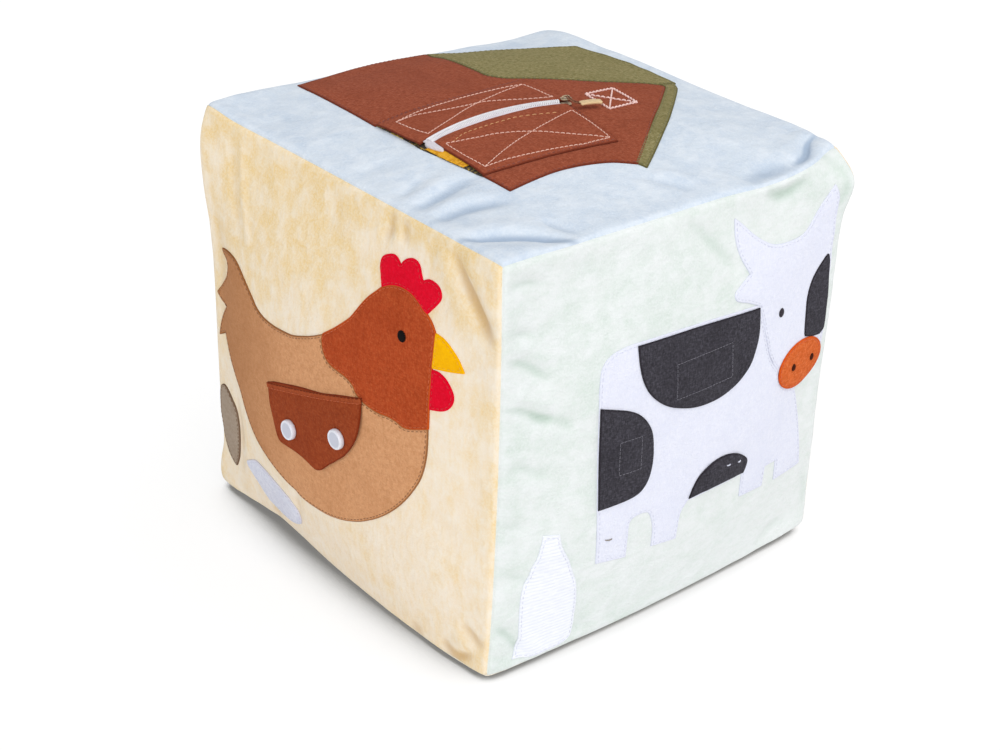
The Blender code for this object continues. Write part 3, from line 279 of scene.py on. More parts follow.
# Folds: points along each, how wide and how high; a valley is below zero
FOLDS = {
    "front": (
        (((31, 84), (34, 92), (37, 101)), 3.0, -1.5),
        (((37, 84), (40, 100)), 2.6, 0.8),
        (((42, 87), (44, 100)), 3.0, -1.3),
        (((73, 97), (82, 86), (92, 75), (102, 62)), 4.2, -2.4),
        (((64, 94), (75, 83), (88, 66)), 6.5, 1.1),
        (((84, 99), (93, 88), (103, 77)), 5.5, 1.5),
        (((55, -93), (64, -100)), 4.0, -1.3),
        (((76, -92), (86, -97), (97, -91)), 3.4, -1.9),
        (((84, -85), (96, -89)), 3.4, 1.1),
        (((88, -78), (98, -83), (105, -84)), 3.2, -1.4),
        (((-74, 99), (-71, 69), (-65, 44)), 2.4, 0.9),
        (((-81, 98), (-78, 69), (-73, 44)), 3.6, -0.7),
        (((-26, -60), (-28, -88)), 3.0, -0.9),
        (((-99, 62), (-92, 20), (-98, -22)), 7.0, -0.9),
        (((-82, -36), (-80, -58), (-85, -84)), 3.2, -1.2),
        (((-72, -66), (-84, -94)), 7.0, 0.9),
        (((-60, -92), (-48, -98)), 4.0, -1.0),
        (((-56, 96), (-48, 84), (-50, 70)), 6.0, 0.5),
        (((-8, 99), (-2, 86), (-6, 72)), 6.0, -0.6),
        (((60, -20), (84, -34), (100, -30)), 9.0, -0.5),
    ),
    "right": (
        (((-6, 98), (11, 84), (32, 65)), 3.8, -1.1),
        (((-14, 98), (0, 82), (18, 66)), 6.0, 0.6),
        (((46, 98), (60, 93), (76, 96)), 4.5, -1.7),
        (((84, 105), (98, 92), (97, 74)), 3.8, -1.5),
        (((92, 102), (104, 84), (103, 64)), 4.0, 0.9),
        (((-105, 36), (-94, 33), (-78, 24)), 2.6, -1.4),
        (((-104, 42), (-92, 39), (-78, 32)), 3.2, 0.7),
        (((-90, 28), (-79, 26), (-66, 19)), 2.6, -1.1),
        (((-104, 58), (-91, 53), (-78, 43)), 2.6, -1.4),
        (((-104, 65), (-90, 60), (-78, 52)), 3.0, 0.6),
        (((-105, 70), (-86, 66)), 2.4, -1.0),
        (((-104, 88), (-94, 90), (-80, 87)), 2.4, -1.0),
        (((-104, 9), (-92, 5), (-78, -2)), 2.8, -1.0),
        (((-104, -20), (-88, -25)), 2.8, -0.9),
        (((-104, -45), (-92, -50), (-83, -58)), 2.8, -0.9),
        (((-103, -72), (-91, -84), (-84, -98)), 3.0, -1.7),
        (((-96, -76), (-84, -88), (-76, -98)), 3.4, 0.8),
        (((-64, -98), (-56, -90), (-44, -94)), 4.0, -0.7),
        (((60, -96), (76, -88), (92, -92)), 5.0, -0.8),
        (((92, -60), (100, -74), (98, -92)), 5.0, -0.9),
        (((20, -66), (50, -74), (80, -66)), 10.0, -0.5),
    ),
    "top": (
        (((43, -105), (41, -81), (39, -60)), 4.0, -1.7),
        (((36, -105), (34, -84), (30, -66)), 3.6, 0.9),
        (((30, -104), (27, -88), (23, -76)), 3.2, -0.9),
        (((57, -105), (57, -84), (65, -62)), 4.0, -1.8),
        (((50, -105), (49, -84), (53, -66)), 3.4, 0.9),
        (((75, -106), (86, -84), (98, -70), (108, -61)), 2.9, -2.9),
        (((67, -103), (76, -84), (90, -66)), 5.5, 1.2),
        (((90, -103), (98, -89), (107, -80)), 6.0, 1.4),
        (((83, -65), (101, -58)), 2.6, -1.1),
        (((77, -1), (97, 13)), 2.8, -0.9),
        (((76, 8), (92, 20)), 3.6, 0.5),
        (((88, 104), (91, 94), (98, 83), (100, 70)), 2.8, -3.0),
        (((82, 99), (88, 84), (90, 66)), 6.0, 0.9),
        (((101, 72), (98, 54), (101, 38)), 5.5, -1.5),
        (((4, -100), (2, -86), (6, -76)), 5.0, -0.7),
        (((-34, -100), (-38, -88), (-32, -78)), 6.0, 0.6),
        (((-60, -101), (-66, -88), (-62, -74)), 6.0, -0.7),
        (((-98, -62), (-86, -74), (-66, -80)), 8.0, -0.6),
        (((-92, 62), (-98, 30), (-92, 0)), 7.0, -0.7),
        (((74, 60), (84, 40), (80, 20)), 9.0, -0.5),
    ),
    "back": (
        (((-100, 84), (-82, 70), (-60, 76)), 5.0, -1.7),
        (((60, -98), (72, -82), (98, -78)), 5.0, -1.5),
        (((40, 98), (52, 80), (74, 70)), 5.0, 1.1),
        (((-98, -60), (-82, -74), (-84, -98)), 4.5, -1.2),
        (((92, 50), (80, 42), (66, 44)), 4.0, -0.9),
        (((-20, 98), (-14, 84), (-22, 70)), 4.0, -0.9),
    ),
    "left": (
        (((100, 84), (84, 72), (62, 80)), 5.0, -1.6),
        (((-100, 40), (-86, 10), (-100, -20)), 6.0, -1.2),
        (((-60, -98), (-74, -84), (-100, -80)), 5.0, -1.3),
        (((30, -99), (44, -86), (40, -68)), 4.5, -1.0),
        (((98, 20), (84, 14), (70, 18)), 3.5, -0.9),
        (((10, 98), (4, 84), (12, 72)), 4.5, -0.9),
    ),
    "base": (),
}


def unit(vectors):
    return vectors / np.linalg.norm(vectors, axis=-1, keepdims=True)


def half_sizes(face):
    normal, across, up = FACES[face]
    return abs(across @ SIZES) / 2, abs(up @ SIZES) / 2


def corner_point(direction):
    point = direction * SIZES / 2
    point[2] += BOTTOM_LIFT + SIZES[2] / 2
    if tuple(np.round(direction)) == (-1, -1, 1):
        point = point + np.array(EAR) * MM
    return point


def seam_bow(one, other):
    names = [name for side in (one, other) for name, axes in FACES.items()
             if axes[0] @ side > 0.5]
    return np.array(SEAM_BENDS[" ".join(sorted(names))]) * MM


def cad_point(face, a, b, lift=0.0):
    # The CAD's side; a and b run from -1 to 1 across and up it
    normal, across, up = FACES[face]
    a = np.asarray(a, float)[..., None]
    b = np.asarray(b, float)[..., None]
    lift = np.asarray(lift, float)
    if lift.ndim:
        lift = lift[..., None]
    s = (a + 1) / 2
    t = (b + 1) / 2
    point = corner_point(normal - across - up) * (1 - s) * (1 - t)
    point = point + corner_point(normal + across - up) * s * (1 - t)
    point = point + corner_point(normal + across + up) * s * t
    point = point + corner_point(normal - across + up) * (1 - s) * t
    bow = seam_bow(normal, -up) * (1 - t) + seam_bow(normal, up) * t
    point = point + bow * (1 - a * a)
    bow = seam_bow(normal, -across) * (1 - s) + seam_bow(normal, across) * s
    point = point + bow * (1 - b * b)
    sagged = b
    if face not in ("top", "base"):
        sagged = b + SAG * (1 - b * b)
    full = (1 - np.abs(a) ** CROWN_POWER) * (1 - np.abs(sagged) ** CROWN_POWER)
    point = point + normal * (CROWNS[face] * full + lift)
    if face == "base":
        point[..., 2] = np.maximum(point[..., 2], 0)
    return point


def line_distance(x, y, points):
    # Distance to an open line, and the share of the way along it
    points = np.array(points, float)
    steps = np.diff(points, axis=0)
    lengths = np.linalg.norm(steps, axis=1)
    starts = np.concatenate(([0], np.cumsum(lengths)))
    best = np.full(x.shape, 1e9)
    along = np.zeros(x.shape)
    for start, step, length, before in zip(points, steps, lengths, starts):
        dx = x - start[0]
        dy = y - start[1]
        share = np.clip((dx * step[0] + dy * step[1]) / length ** 2, 0, 1)
        away = np.hypot(dx - share * step[0], dy - share * step[1])
        near = away < best
        best = np.where(near, away, best)
        along = np.where(near, before + share * length, along)
    return best, along / starts[-1]


def curve_through(points, count=12):
    # A smooth open curve through given points
    points = [np.array(p, float) for p in points]
    padded = [2 * points[0] - points[1]] + points + [2 * points[-1] - points[-2]]
    curve = []
    for i in range(1, len(padded) - 2):
        p0, p1, p2, p3 = padded[i - 1:i + 3]
        for k in range(count):
            t = k / count
            curve.append(0.5 * (2 * p1 + (p2 - p0) * t
                                + (2 * p0 - 5 * p1 + 4 * p2 - p3) * t ** 2
                                + (3 * p1 - p0 - 3 * p2 + p3) * t ** 3))
    curve.append(points[-1])
    return np.array(curve)


def fold_height(face, x, y):
    height = np.zeros_like(x)
    for points, width, high in FOLDS[face]:
        away, along = line_distance(x, y, curve_through(points))
        taper = np.clip(4 * along * (1 - along), 0, 1) ** 0.6
        height += high * taper * np.exp(-(away / width) ** 2)
    return height


def slack_height(face, x, y):
    # Loose cloth between the folds, and small puckers along the seams
    half_across, half_up = [half / MM for half in half_sizes(face)]
    height = 0.34 * np.sin(x / 19 + 1.7 * np.sin(y / 31 + 1)) * np.cos(y / 23)
    height += 0.22 * np.sin(y / 11 + 2.1 * np.sin(x / 27))
    side = np.minimum(half_across - np.abs(x), 40)
    level = np.minimum(half_up - np.abs(y), 40)
    pucker = np.sin(y / 2.7 + 1.6 * np.sin(y / 13 + np.sign(x)))
    height += 0.5 * pucker * np.exp(-side / 7) * np.cos(y / 37 + np.sign(x))
    pucker = np.sin(x / 2.9 + 1.6 * np.sin(x / 15 + np.sign(y)))
    height += 0.5 * pucker * np.exp(-level / 7) * np.cos(x / 41 + np.sign(y))
    return height


def raised_height(face, x, y):
    half_across, half_up = [half / MM for half in half_sizes(face)]
    near = np.minimum(half_across - np.abs(x), half_up - np.abs(y))
    edge = np.clip(near / 3.2, 0, 1)
    height = fold_height(face, x, y) + slack_height(face, x, y)
    return height * edge * edge * (3 - 2 * edge)


def grid_normals(points):
    along = np.gradient(points, axis=1)
    up = np.gradient(points, axis=0)
    return unit(np.cross(along, up))


def grid_shares():
    even = np.linspace(-1, 1, GRID)
    return (1 - EDGE_CROWDING) * even + EDGE_CROWDING * np.sin(even * pi / 2)


SHARES = grid_shares()


def side_grid(face):
    a, b = np.meshgrid(SHARES, SHARES)
    points = cad_point(face, a, b)
    half_across, half_up = half_sizes(face)
    x = a * half_across / MM
    y = b * half_up / MM
    raised = raised_height(face, x, y)[..., None] * MM
    if face == "base":
        raised = raised * 0
    return points + grid_normals(points) * raised


def push(points):
    for middle, reach, move in PUSHES:
        away = (points / MM - np.array(middle)) / np.array(reach)
        share = np.exp(-(away ** 2).sum(-1, keepdims=True))
        points = points + np.array(move) * MM * share
    return points


def weld(grids):
    # Number the grid points so that sides share theirs along the seams
    points = np.concatenate([grid.reshape(-1, 3) for grid in grids])
    rim = np.zeros((GRID, GRID), bool)
    rim[0] = rim[-1] = rim[:, 0] = rim[:, -1] = True
    rim = np.flatnonzero(np.tile(rim.reshape(-1), len(grids)))
    tree = KDTree(len(rim))
    for index in rim:
        tree.insert(points[index], int(index))
    tree.balance()
    number = np.arange(len(points))
    for index in rim:
        near = tree.find_range(points[index], 2e-5)
        number[index] = min(found[1] for found in near)
    return points, number, rim


def cloth_grids():
    names = list(FACES)
    points, number, rim = weld([side_grid(face) for face in names])
    points = push(points)
    points[number != np.arange(len(points))] = points[
        number[number != np.arange(len(points))]]
    edges = []
    for f in range(len(names)):
        ids = number[f * GRID * GRID:(f + 1) * GRID * GRID].reshape(GRID, GRID)
        edges.append(np.stack((ids[:, 1:], ids[:, :-1]), -1).reshape(-1, 2))
        edges.append(np.stack((ids[1:], ids[:-1]), -1).reshape(-1, 2))
    edges = np.concatenate(edges)
    ends = np.concatenate((edges[:, 0], edges[:, 1]))
    others = np.concatenate((edges[:, 1], edges[:, 0]))
    total = len(points)
    degree = np.maximum(np.bincount(ends, minlength=total), 1)[:, None]
    away = seam_distance(names)
    along_seams = np.clip(1 - away / SMOOTH_REACH, 0, 1)
    at_corners = corner_share(points)
    for turn in range(CORNER_ROUNDS):
        strength = at_corners if turn >= SMOOTH_ROUNDS else np.maximum(
            along_seams, at_corners)
        mean = np.stack([np.bincount(ends, points[others, k], total)
                         for k in range(3)], -1) / degree
        moved = points + (mean - points) * strength[:, None] * 0.55
        points = moved[number]
    points = pinch_seams(points, number, away, names)
    points[:, 2] = np.maximum(points[:, 2], 0.0002)
    return {face: points[f * GRID ** 2:(f + 1) * GRID ** 2].reshape(GRID, GRID, 3)
            for f, face in enumerate(names)}


def corner_share(points):
    share = np.zeros(len(points))
    for direction, reach, amount in CORNERS:
        away = np.linalg.norm(points - corner_point(np.array(direction, float)),
                              axis=-1) / MM
        share = np.maximum(share, amount * np.exp(-(away / reach) ** 2))
    return share


def seam_distance(names):
    rows = []
    for face in names:
        half_across, half_up = half_sizes(face)
        a, b = np.meshgrid(SHARES, SHARES)
        side = (1 - np.abs(a)) * half_across
        level = (1 - np.abs(b)) * half_up
        rows.append(np.minimum(side, level).reshape(-1) / MM)
    return np.concatenate(rows)


def pinch_seams(points, number, away, names):
    normals = np.zeros_like(points)
    for f in range(len(names)):
        part = slice(f * GRID ** 2, (f + 1) * GRID ** 2)
        grid = points[part].reshape(GRID, GRID, 3)
        normals[part] = grid_normals(grid).reshape(-1, 3)
    total = len(points)
    shared = np.stack([np.bincount(number, normals[:, k], total)
                       for k in range(3)], -1)
    shared = unit(shared[number])
    # Beside the seam, the groove's direction turns from one side's to both's
    mix = np.clip(away / 6, 0, 1)[:, None]
    direction = unit(normals * mix + shared * (1 - mix))
    depth = GROOVE_DEPTH * np.clip(1 - away / GROOVE_WIDTH, 0, 1) ** 1.2
    depth = depth - REGAIN * np.exp(-(away / REGAIN_REACH) ** 2)
    return points - direction * depth[:, None] * MM


CLOTH = cloth_grids()
CLOTH_NORMALS = {face: grid_normals(grid) for face, grid in CLOTH.items()}


def place(face, x, y, lift=0.0):
    # Points in space at a height over the velour
    half_across, half_up = half_sizes(face)
    steps = np.arange(GRID)
    u = np.interp(np.asarray(x, float) * MM / half_across, SHARES, steps)
    v = np.interp(np.asarray(y, float) * MM / half_up, SHARES, steps)
    i = np.clip(u.astype(int), 0, GRID - 2)
    j = np.clip(v.astype(int), 0, GRID - 2)
    s = (u - i)[..., None]
    t = (v - j)[..., None]
    found = []
    for grid in (CLOTH[face], CLOTH_NORMALS[face]):
        low = grid[j, i] * (1 - s) + grid[j, i + 1] * s
        high = grid[j + 1, i] * (1 - s) + grid[j + 1, i + 1] * s
        found.append(low * (1 - t) + high * t)
    return found[0] + unit(found[1]) * np.asarray(lift, float)[..., None] * MM


# ------------------------------------------------------------------- meshes
def add_mesh(name, points, faces, surface, body="block", smooth=True):
    mesh = bpy.data.meshes.new(name)
    mesh.from_pydata(np.asarray(points).tolist(), [], faces)
    mesh.materials.append(surface)
    mesh.polygons.foreach_set("use_smooth", [smooth] * len(mesh.polygons))
    mesh.update()
    thing = bpy.data.objects.new(name, mesh)
    bpy.context.scene.collection.objects.link(thing)
    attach(thing, body)
    return thing


def stand_for(node):
    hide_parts(node)


def add_values(thing, name, values):
    # Per-point numbers for the materials
    values = np.asarray(values, np.float32)
    kind = "FLOAT" if values.ndim == 1 else "FLOAT_VECTOR"
    field = "value" if values.ndim == 1 else "vector"
    made = thing.data.attributes.new(name, kind, "POINT")
    made.data.foreach_set(field, values.reshape(-1))


def grid_faces(rows, columns, first=0):
    faces = []
    for j in range(rows - 1):
        for i in range(columns - 1):
            k = first + j * columns + i
            faces.append((k, k + 1, k + 1 + columns, k + columns))
    return faces


# ------------------------------------------------------------ felt outlines
def smooth_outline(shares, middle=(0, 0), spacing=0.9):
    # A closed curve through the points; doubled points stay sharp
    points = [np.array(p, float) for p in shares]
    count = len(points)
    outline = []
    for i in range(count):
        here = points[i]
        after = points[(i + 1) % count]
        reach = np.linalg.norm(after - here)
        if reach < 0.01:
            continue
        leave = (after - points[i - 1]) / 2
        arrive = (points[(i + 2) % count] - here) / 2
        leave *= min(1, reach / np.linalg.norm(leave))
        arrive *= min(1, reach / np.linalg.norm(arrive))
        for t in np.arange(ceil(reach / spacing)) / ceil(reach / spacing):
            outline.append(here * (2 * t ** 3 - 3 * t ** 2 + 1)
                           + leave * (t ** 3 - 2 * t ** 2 + t)
                           + after * (3 * t ** 2 - 2 * t ** 3)
                           + arrive * (t ** 3 - t ** 2))
    return counter_clockwise(np.array(outline) + np.array(middle))


def straight_outline(shares, middle=(0, 0), spacing=0.9):
    outline = []
    for i, here in enumerate(shares):
        after = np.array(shares[(i + 1) % len(shares)], float)
        here = np.array(here, float)
        steps = max(1, ceil(np.linalg.norm(after - here) / spacing))
        outline += [here + (after - here) * k / steps for k in range(steps)]
    return counter_clockwise(np.array(outline) + np.array(middle))


def oval_outline(shares, middle, sides=90):
    across, up, half_across, half_up = shares
    turn = np.arange(sides) * 2 * pi / sides
    return np.stack((across + middle[0] + half_across * np.cos(turn),
                     up + middle[1] + half_up * np.sin(turn)), -1)


def outline_area(outline):
    x, y = outline.T
    return 0.5 * np.sum(np.roll(x, 1) * y - x * np.roll(y, 1))


def counter_clockwise(outline):
    return outline if outline_area(outline) > 0 else outline[::-1]


def grown(outline, margin=0.3):
    # Cut a little larger, so that neighbouring pieces meet
    return outline - inward(outline) * margin


def edge_distance(points, outline, chunk=900):
    # Distance from each point to a closed outline
    start = outline
    step = np.roll(outline, -1, 0) - start
    square = np.maximum((step ** 2).sum(1), 1e-12)
    found = []
    for k in range(0, len(points), chunk):
        offset = points[k:k + chunk, None, :] - start[None]
        share = np.clip((offset * step[None]).sum(2) / square[None], 0, 1)
        gap = offset - share[..., None] * step[None]
        found.append(np.sqrt((gap ** 2).sum(2)).min(1))
    return np.concatenate(found) if found else np.zeros(0)


def inside(points, outline):
    x, y = points[:, 0][:, None], points[:, 1][:, None]
    x1, y1 = outline.T
    x2, y2 = np.roll(outline, -1, 0).T
    crossing = (y1 > y) != (y2 > y)
    with np.errstate(divide="ignore", invalid="ignore"):
        at = x1 + (y - y1) * (x2 - x1) / (y2 - y1)
    return (crossing & (x < at)).sum(1) % 2 == 1


def inward(outline):
    along = np.roll(outline, -1, 0) - np.roll(outline, 1, 0)
    along /= np.maximum(np.linalg.norm(along, axis=1, keepdims=True), 1e-9)
    return np.stack((-along[:, 1], along[:, 0]), -1)


def inset_line(outline, inset):
    # Points of an outline moved in, where they are still that far inside
    moved = outline + inward(outline) * inset
    keep = edge_distance(moved, outline) > inset * 0.93
    return moved[keep & inside(moved, outline)]


def fill_outline(outline, spacing):
    # Triangles over an outline, finer towards its edge
    points = [outline]
    for inset in (0.25, 0.6, 1.1, 1.7):
        points.append(inset_line(outline, inset))
    low = outline.min(0)
    high = outline.max(0)
    rows = np.arange(low[1], high[1], spacing * 0.866)
    grid = [(x + (k % 2) * spacing / 2, y) for k, y in enumerate(rows)
            for x in np.arange(low[0], high[0], spacing)]
    grid = np.array(grid).reshape(-1, 2)
    grid = grid[inside(grid, outline)]
    grid = grid[edge_distance(grid, outline) > 2.4]
    points = np.concatenate(points + [grid])
    count = len(outline)
    border = [(i, (i + 1) % count) for i in range(count)]
    made = delaunay_2d_cdt([Vector(p) for p in points], border, [], 1, 1e-5)
    flat = np.array([tuple(v) for v in made[0]])
    triangles = np.array([t for t in made[2] if len(t) == 3])
    middles = flat[triangles].mean(1)
    triangles = triangles[inside(middles, outline)]
    a, b, c = (flat[triangles[:, k]] for k in range(3))
    turn = ((b[:, 0] - a[:, 0]) * (c[:, 1] - a[:, 1])
            - (b[:, 1] - a[:, 1]) * (c[:, 0] - a[:, 0]))
    triangles[turn < 0] = triangles[turn < 0][:, ::-1]
    return flat, triangles


def border_edges(triangles):
    edges = np.concatenate((triangles[:, (0, 1)], triangles[:, (1, 2)],
                            triangles[:, (2, 0)]))
    keys = {}
    for start, end in edges.tolist():
        keys[(start, end)] = True
    return [edge for edge in keys if (edge[1], edge[0]) not in keys]


# --------------------------------------------------------------- felt pieces
class Felt:
    """A flat cut piece laid on a side, between low and low plus thick."""

    def __init__(self, face, outline, low, thick, rise=None, seam=1.5,
                 groove=0.2, puff=0.15):
        self.face = face
        self.outline = outline
        self.low = low
        self.thick = thick
        self.rise = rise
        self.seam = seam
        self.groove = groove
        self.puff = puff

    def under(self, x, y):
        height = np.full(np.shape(x), float(self.low))
        if self.rise is not None:
            height = height + self.rise(x, y)
        return height

    def top(self, x, y, away=None):
        if away is None:
            away = edge_distance(np.stack((x, y), -1), self.outline)
        rounding = 1 - np.clip(1 - away / 0.6, 0, 1) ** 2
        height = self.thick * (0.5 + 0.5 * rounding)
        height = height - self.groove * np.exp(-((away - self.seam) / 0.5) ** 2)
        beyond = np.clip((away - self.seam) / 6, 0, 1)
        height = height + self.puff * beyond * (2 - beyond)
        height = height + 0.06 * np.sin(x / 3.1 + y / 5.3) * np.sin(y / 3.7)
        return self.under(x, y) + height

    def build(self, name, surface, body="block", spacing=2.0):
        flat, triangles = fill_outline(self.outline, spacing)
        x, y = flat.T
        away = edge_distance(flat, self.outline)
        upper = place(self.face, x, y, self.top(x, y, away))
        lower = place(self.face, x, y, self.under(x, y))
        count = len(flat)
        faces = (triangles + count).tolist() + triangles[:, ::-1].tolist()
        for start, end in border_edges(triangles):
            faces.append((start, end, end + count, start + count))
        thing = add_mesh(name, np.concatenate((lower, upper)), faces,
                         surface, body)
        add_values(thing, "edge", np.tile(away, 2) * MM)
        flat = np.concatenate((flat, np.zeros((count, 1))), 1) * MM
        add_values(thing, "flat", np.tile(flat, (2, 1)))
        return thing


# ------------------------------------------------------------------- thread
def along_line(points, closed=False):
    points = np.asarray(points, float)
    if closed:
        points = np.concatenate((points, points[:1]))
    lengths = np.linalg.norm(np.diff(points, axis=0), axis=1)
    return points, np.concatenate(([0], np.cumsum(lengths)))


def read_line(points, starts, at):
    return np.stack([np.interp(at, starts, points[:, k])
                     for k in range(points.shape[1])], -1)


def ring_faces(rings, sides, first=0):
    # Quads between neighbouring rings of points
    faces = []
    for k in range(rings - 1):
        here = first + k * sides
        for m in range(sides):
            after = (m + 1) % sides
            faces.append((here + m, here + after,
                          here + sides + after, here + sides + m))
    return faces


def tubes(centres, normals, radii, sides=6):
    # Small tubes along rows of centres; returns points and faces
    tangents = unit(np.gradient(centres, axis=1))
    side = unit(np.cross(tangents, normals))
    lift = np.cross(side, tangents)
    turn = np.arange(sides) * 2 * pi / sides
    ring = (side[:, :, None, :] * np.cos(turn)[None, None, :, None]
            + lift[:, :, None, :] * np.sin(turn)[None, None, :, None])
    points = centres[:, :, None, :] + ring * radii[None, :, None, None]
    count, rings = centres.shape[:2]
    faces = []
    for n in range(count):
        base = n * rings * sides
        faces += ring_faces(rings, sides, base)
        faces.append(tuple(base + m for m in reversed(range(sides))))
        faces.append(tuple(base + (rings - 1) * sides + m
                           for m in range(sides)))
    return points.reshape(-1, 3), faces


def loft(name, rows, surface, body, flip=False):
    # A closed skin over rings of points
    rows = np.array(rows)
    count, ring = rows.shape[:2]
    faces = ring_faces(count, ring)
    faces.append(tuple(reversed(range(ring))))
    faces.append(tuple((count - 1) * ring + k for k in range(ring)))
    if flip:
        faces = [face[::-1] for face in faces]
    return add_mesh(name, rows.reshape(-1, 3), faces, surface, body)


STITCH_SHAPE = np.array((0.0, 0.2, 0.5, 0.8, 1.0))
STITCH_ARCH = np.array((-0.25, 0.12, 0.2, 0.12, -0.25))
STITCH_SIZES = np.array((0.55, 0.95, 1.0, 0.95, 0.55))


def stitches(name, felt, lines, surface, body="block", pitch=2.6, share=0.74,
             radius=0.2, lift=0.0, closed=True):
    # Stitches of thread along lines on a felt piece, as one object
    every_point = []
    every_face = []
    first = 0
    for line in lines:
        points, starts = along_line(line, closed)
        count = max(1, int(starts[-1] / pitch))
        step = starts[-1] / count
        at = (np.arange(count)[:, None] + STITCH_SHAPE[None] * share) * step
        flat = read_line(points, starts, at.reshape(-1))
        x, y = flat.T
        height = felt.top(x, y) + lift
        height = height + np.tile(STITCH_ARCH, count) * radius / 0.2
        centres = place(felt.face, x, y, height).reshape(count, -1, 3)
        normals = place(felt.face, x, y, height + 1).reshape(count, -1, 3)
        made, faces = tubes(centres, unit(normals - centres),
                            STITCH_SIZES * radius * MM)
        every_point.append(made)
        every_face += [tuple(i + first for i in f) for f in faces]
        first += len(made)
    return add_mesh(name, np.concatenate(every_point), every_face,
                    surface, body)


# ---------------------------------------------------------------- materials
def rgb(red, green, blue):
    # A colour from 0 to 255 as the eye sees it, for a shader
    def linear(value):
        value /= 255
        return value / 12.92 if value < 0.04045 else ((value + 0.055) / 1.055) ** 2.4
    return (linear(red), linear(green), linear(blue), 1)


class Recipe:
    """A node material, put together a step at a time."""

    def __init__(self, name, rough=0.9):
        self.material = bpy.data.materials.new(name)
        self.material.use_nodes = True
        self.tree = self.material.node_tree
        self.shader = self.tree.nodes["Principled BSDF"]
        self.set("Roughness", rough)
        self.place = self.node("ShaderNodeTexCoord").outputs["Object"]

    def set(self, socket, value):
        self.shader.inputs[socket].default_value = value

    def wire(self, value, socket):
        # A number, a colour or another node's output into a socket
        if isinstance(value, bpy.types.NodeSocket):
            self.tree.links.new(value, socket)
        else:
            socket.default_value = value

    def node(self, kind, **settings):
        made = self.tree.nodes.new(kind)
        for name, value in settings.items():
            setattr(made, name, value)
        return made

    def attribute(self, name, output="Fac"):
        return self.node("ShaderNodeAttribute", attribute_name=name).outputs[output]

    def stretched(self, where, scale, turn=0.0):
        made = self.node("ShaderNodeMapping")
        self.wire(where, made.inputs["Vector"])
        made.inputs["Scale"].default_value = scale
        made.inputs["Rotation"].default_value = (0, 0, turn)
        return made.outputs[0]

    def noise(self, where, scale, detail=3.0, rough=0.55, warp=0.0):
        made = self.node("ShaderNodeTexNoise")
        self.wire(where, made.inputs["Vector"])
        made.inputs["Scale"].default_value = scale
        made.inputs["Detail"].default_value = detail
        made.inputs["Roughness"].default_value = rough
        made.inputs["Distortion"].default_value = warp
        return made.outputs[0]

    def wave(self, where, scale, direction="X", warp=0.0):
        made = self.node("ShaderNodeTexWave", bands_direction=direction)
        self.wire(where, made.inputs["Vector"])
        made.inputs["Scale"].default_value = scale
        made.inputs["Distortion"].default_value = warp
        made.inputs["Detail"].default_value = 1.0
        return made.outputs["Fac"]

    def level(self, value, low, high, out_low=0.0, out_high=1.0):
        made = self.node("ShaderNodeMapRange", interpolation_type="SMOOTHSTEP")
        for socket, given in zip(("Value", "From Min", "From Max", "To Min",
                                  "To Max"),
                                 (value, low, high, out_low, out_high)):
            self.wire(given, made.inputs[socket])
        return made.outputs[0]

    def math(self, how, one, other=0.0):
        made = self.node("ShaderNodeMath", operation=how)
        self.wire(one, made.inputs[0])
        self.wire(other, made.inputs[1])
        return made.outputs[0]

    def mix(self, share, one, other, blend="MIX"):
        made = self.node("ShaderNodeMix", data_type="RGBA", blend_type=blend)
        self.wire(share, made.inputs["Factor"])
        self.wire(one, made.inputs["A"])
        self.wire(other, made.inputs["B"])
        return made.outputs["Result"]

    def bump(self, height, distance, strength=1.0, normal=None):
        made = self.node("ShaderNodeBump")
        self.wire(height, made.inputs["Height"])
        made.inputs["Distance"].default_value = distance
        made.inputs["Strength"].default_value = strength
        if normal is not None:
            self.wire(normal, made.inputs["Normal"])
        return made.outputs[0]

    def finish(self, colour, normal=None):
        self.wire(colour, self.shader.inputs["Base Color"])
        if normal is not None:
            self.wire(normal, self.shader.inputs["Normal"])
        return self.material


def velour(name, base, deep, pale, shade, blotch=(130, 46, 130), turn=0.0,
           cloudy=0.9):
    # Short brushed pile: cloudy where the nap lies over; the tone patches add nap
    # colour and painted light and shade, and the shade attribute paints shade in the
    # fold valleys
    look = Recipe(name, 0.95)
    flat = look.attribute("flat", "Vector")
    tone = look.attribute("tone")
    clouds = look.noise(look.place, 24, 3, 0.5, 0.3)
    blotches = look.noise(look.stretched(flat, blotch, turn), 1.0, 3, 0.5, 0.3)
    patches = look.noise(look.place, 110, 3, 0.5, 0.3)
    lie = tuple(3.4 * scale for scale in blotch)
    streaks = look.noise(look.stretched(flat, lie, turn), 1.0, 3, 0.55)
    fibres = look.noise(look.place, 900, 3, 0.6)
    mixed = look.math("ADD", look.math("MULTIPLY", clouds, 0.5),
                      look.math("MULTIPLY", blotches, 0.5))
    # The tone patches hold nap colour and also painted light and shade
    share = look.level(look.math("ADD", mixed, tone), 0.36, 0.70, 0.0, cloudy)
    colour = look.mix(share, base, deep)
    colour = look.mix(look.level(patches, 0.38, 0.70, 0.0, 0.6), colour, pale)
    colour = look.mix(look.level(streaks, 0.40, 0.72, 0.0, 0.3), colour, deep)
    colour = look.mix(look.level(fibres, 0.36, 0.70, 0.0, 0.4), colour, pale)
    # Painted shade: darker in the fold valleys
    share = look.level(look.attribute("shade"), 0.08, 1.0, 0.0, 0.85)
    colour = look.mix(share, colour, shade)
    height = look.math("ADD", look.math("MULTIPLY", fibres, 0.6), streaks)
    normal = look.bump(patches, 0.0014, 0.5)
    normal = look.bump(height, 0.0006, 0.6, normal)
    look.set("Sheen Weight", 0.08)
    look.set("Sheen Roughness", 0.5)
    look.set("Specular IOR Level", 0.05)
    return look.finish(colour, normal)


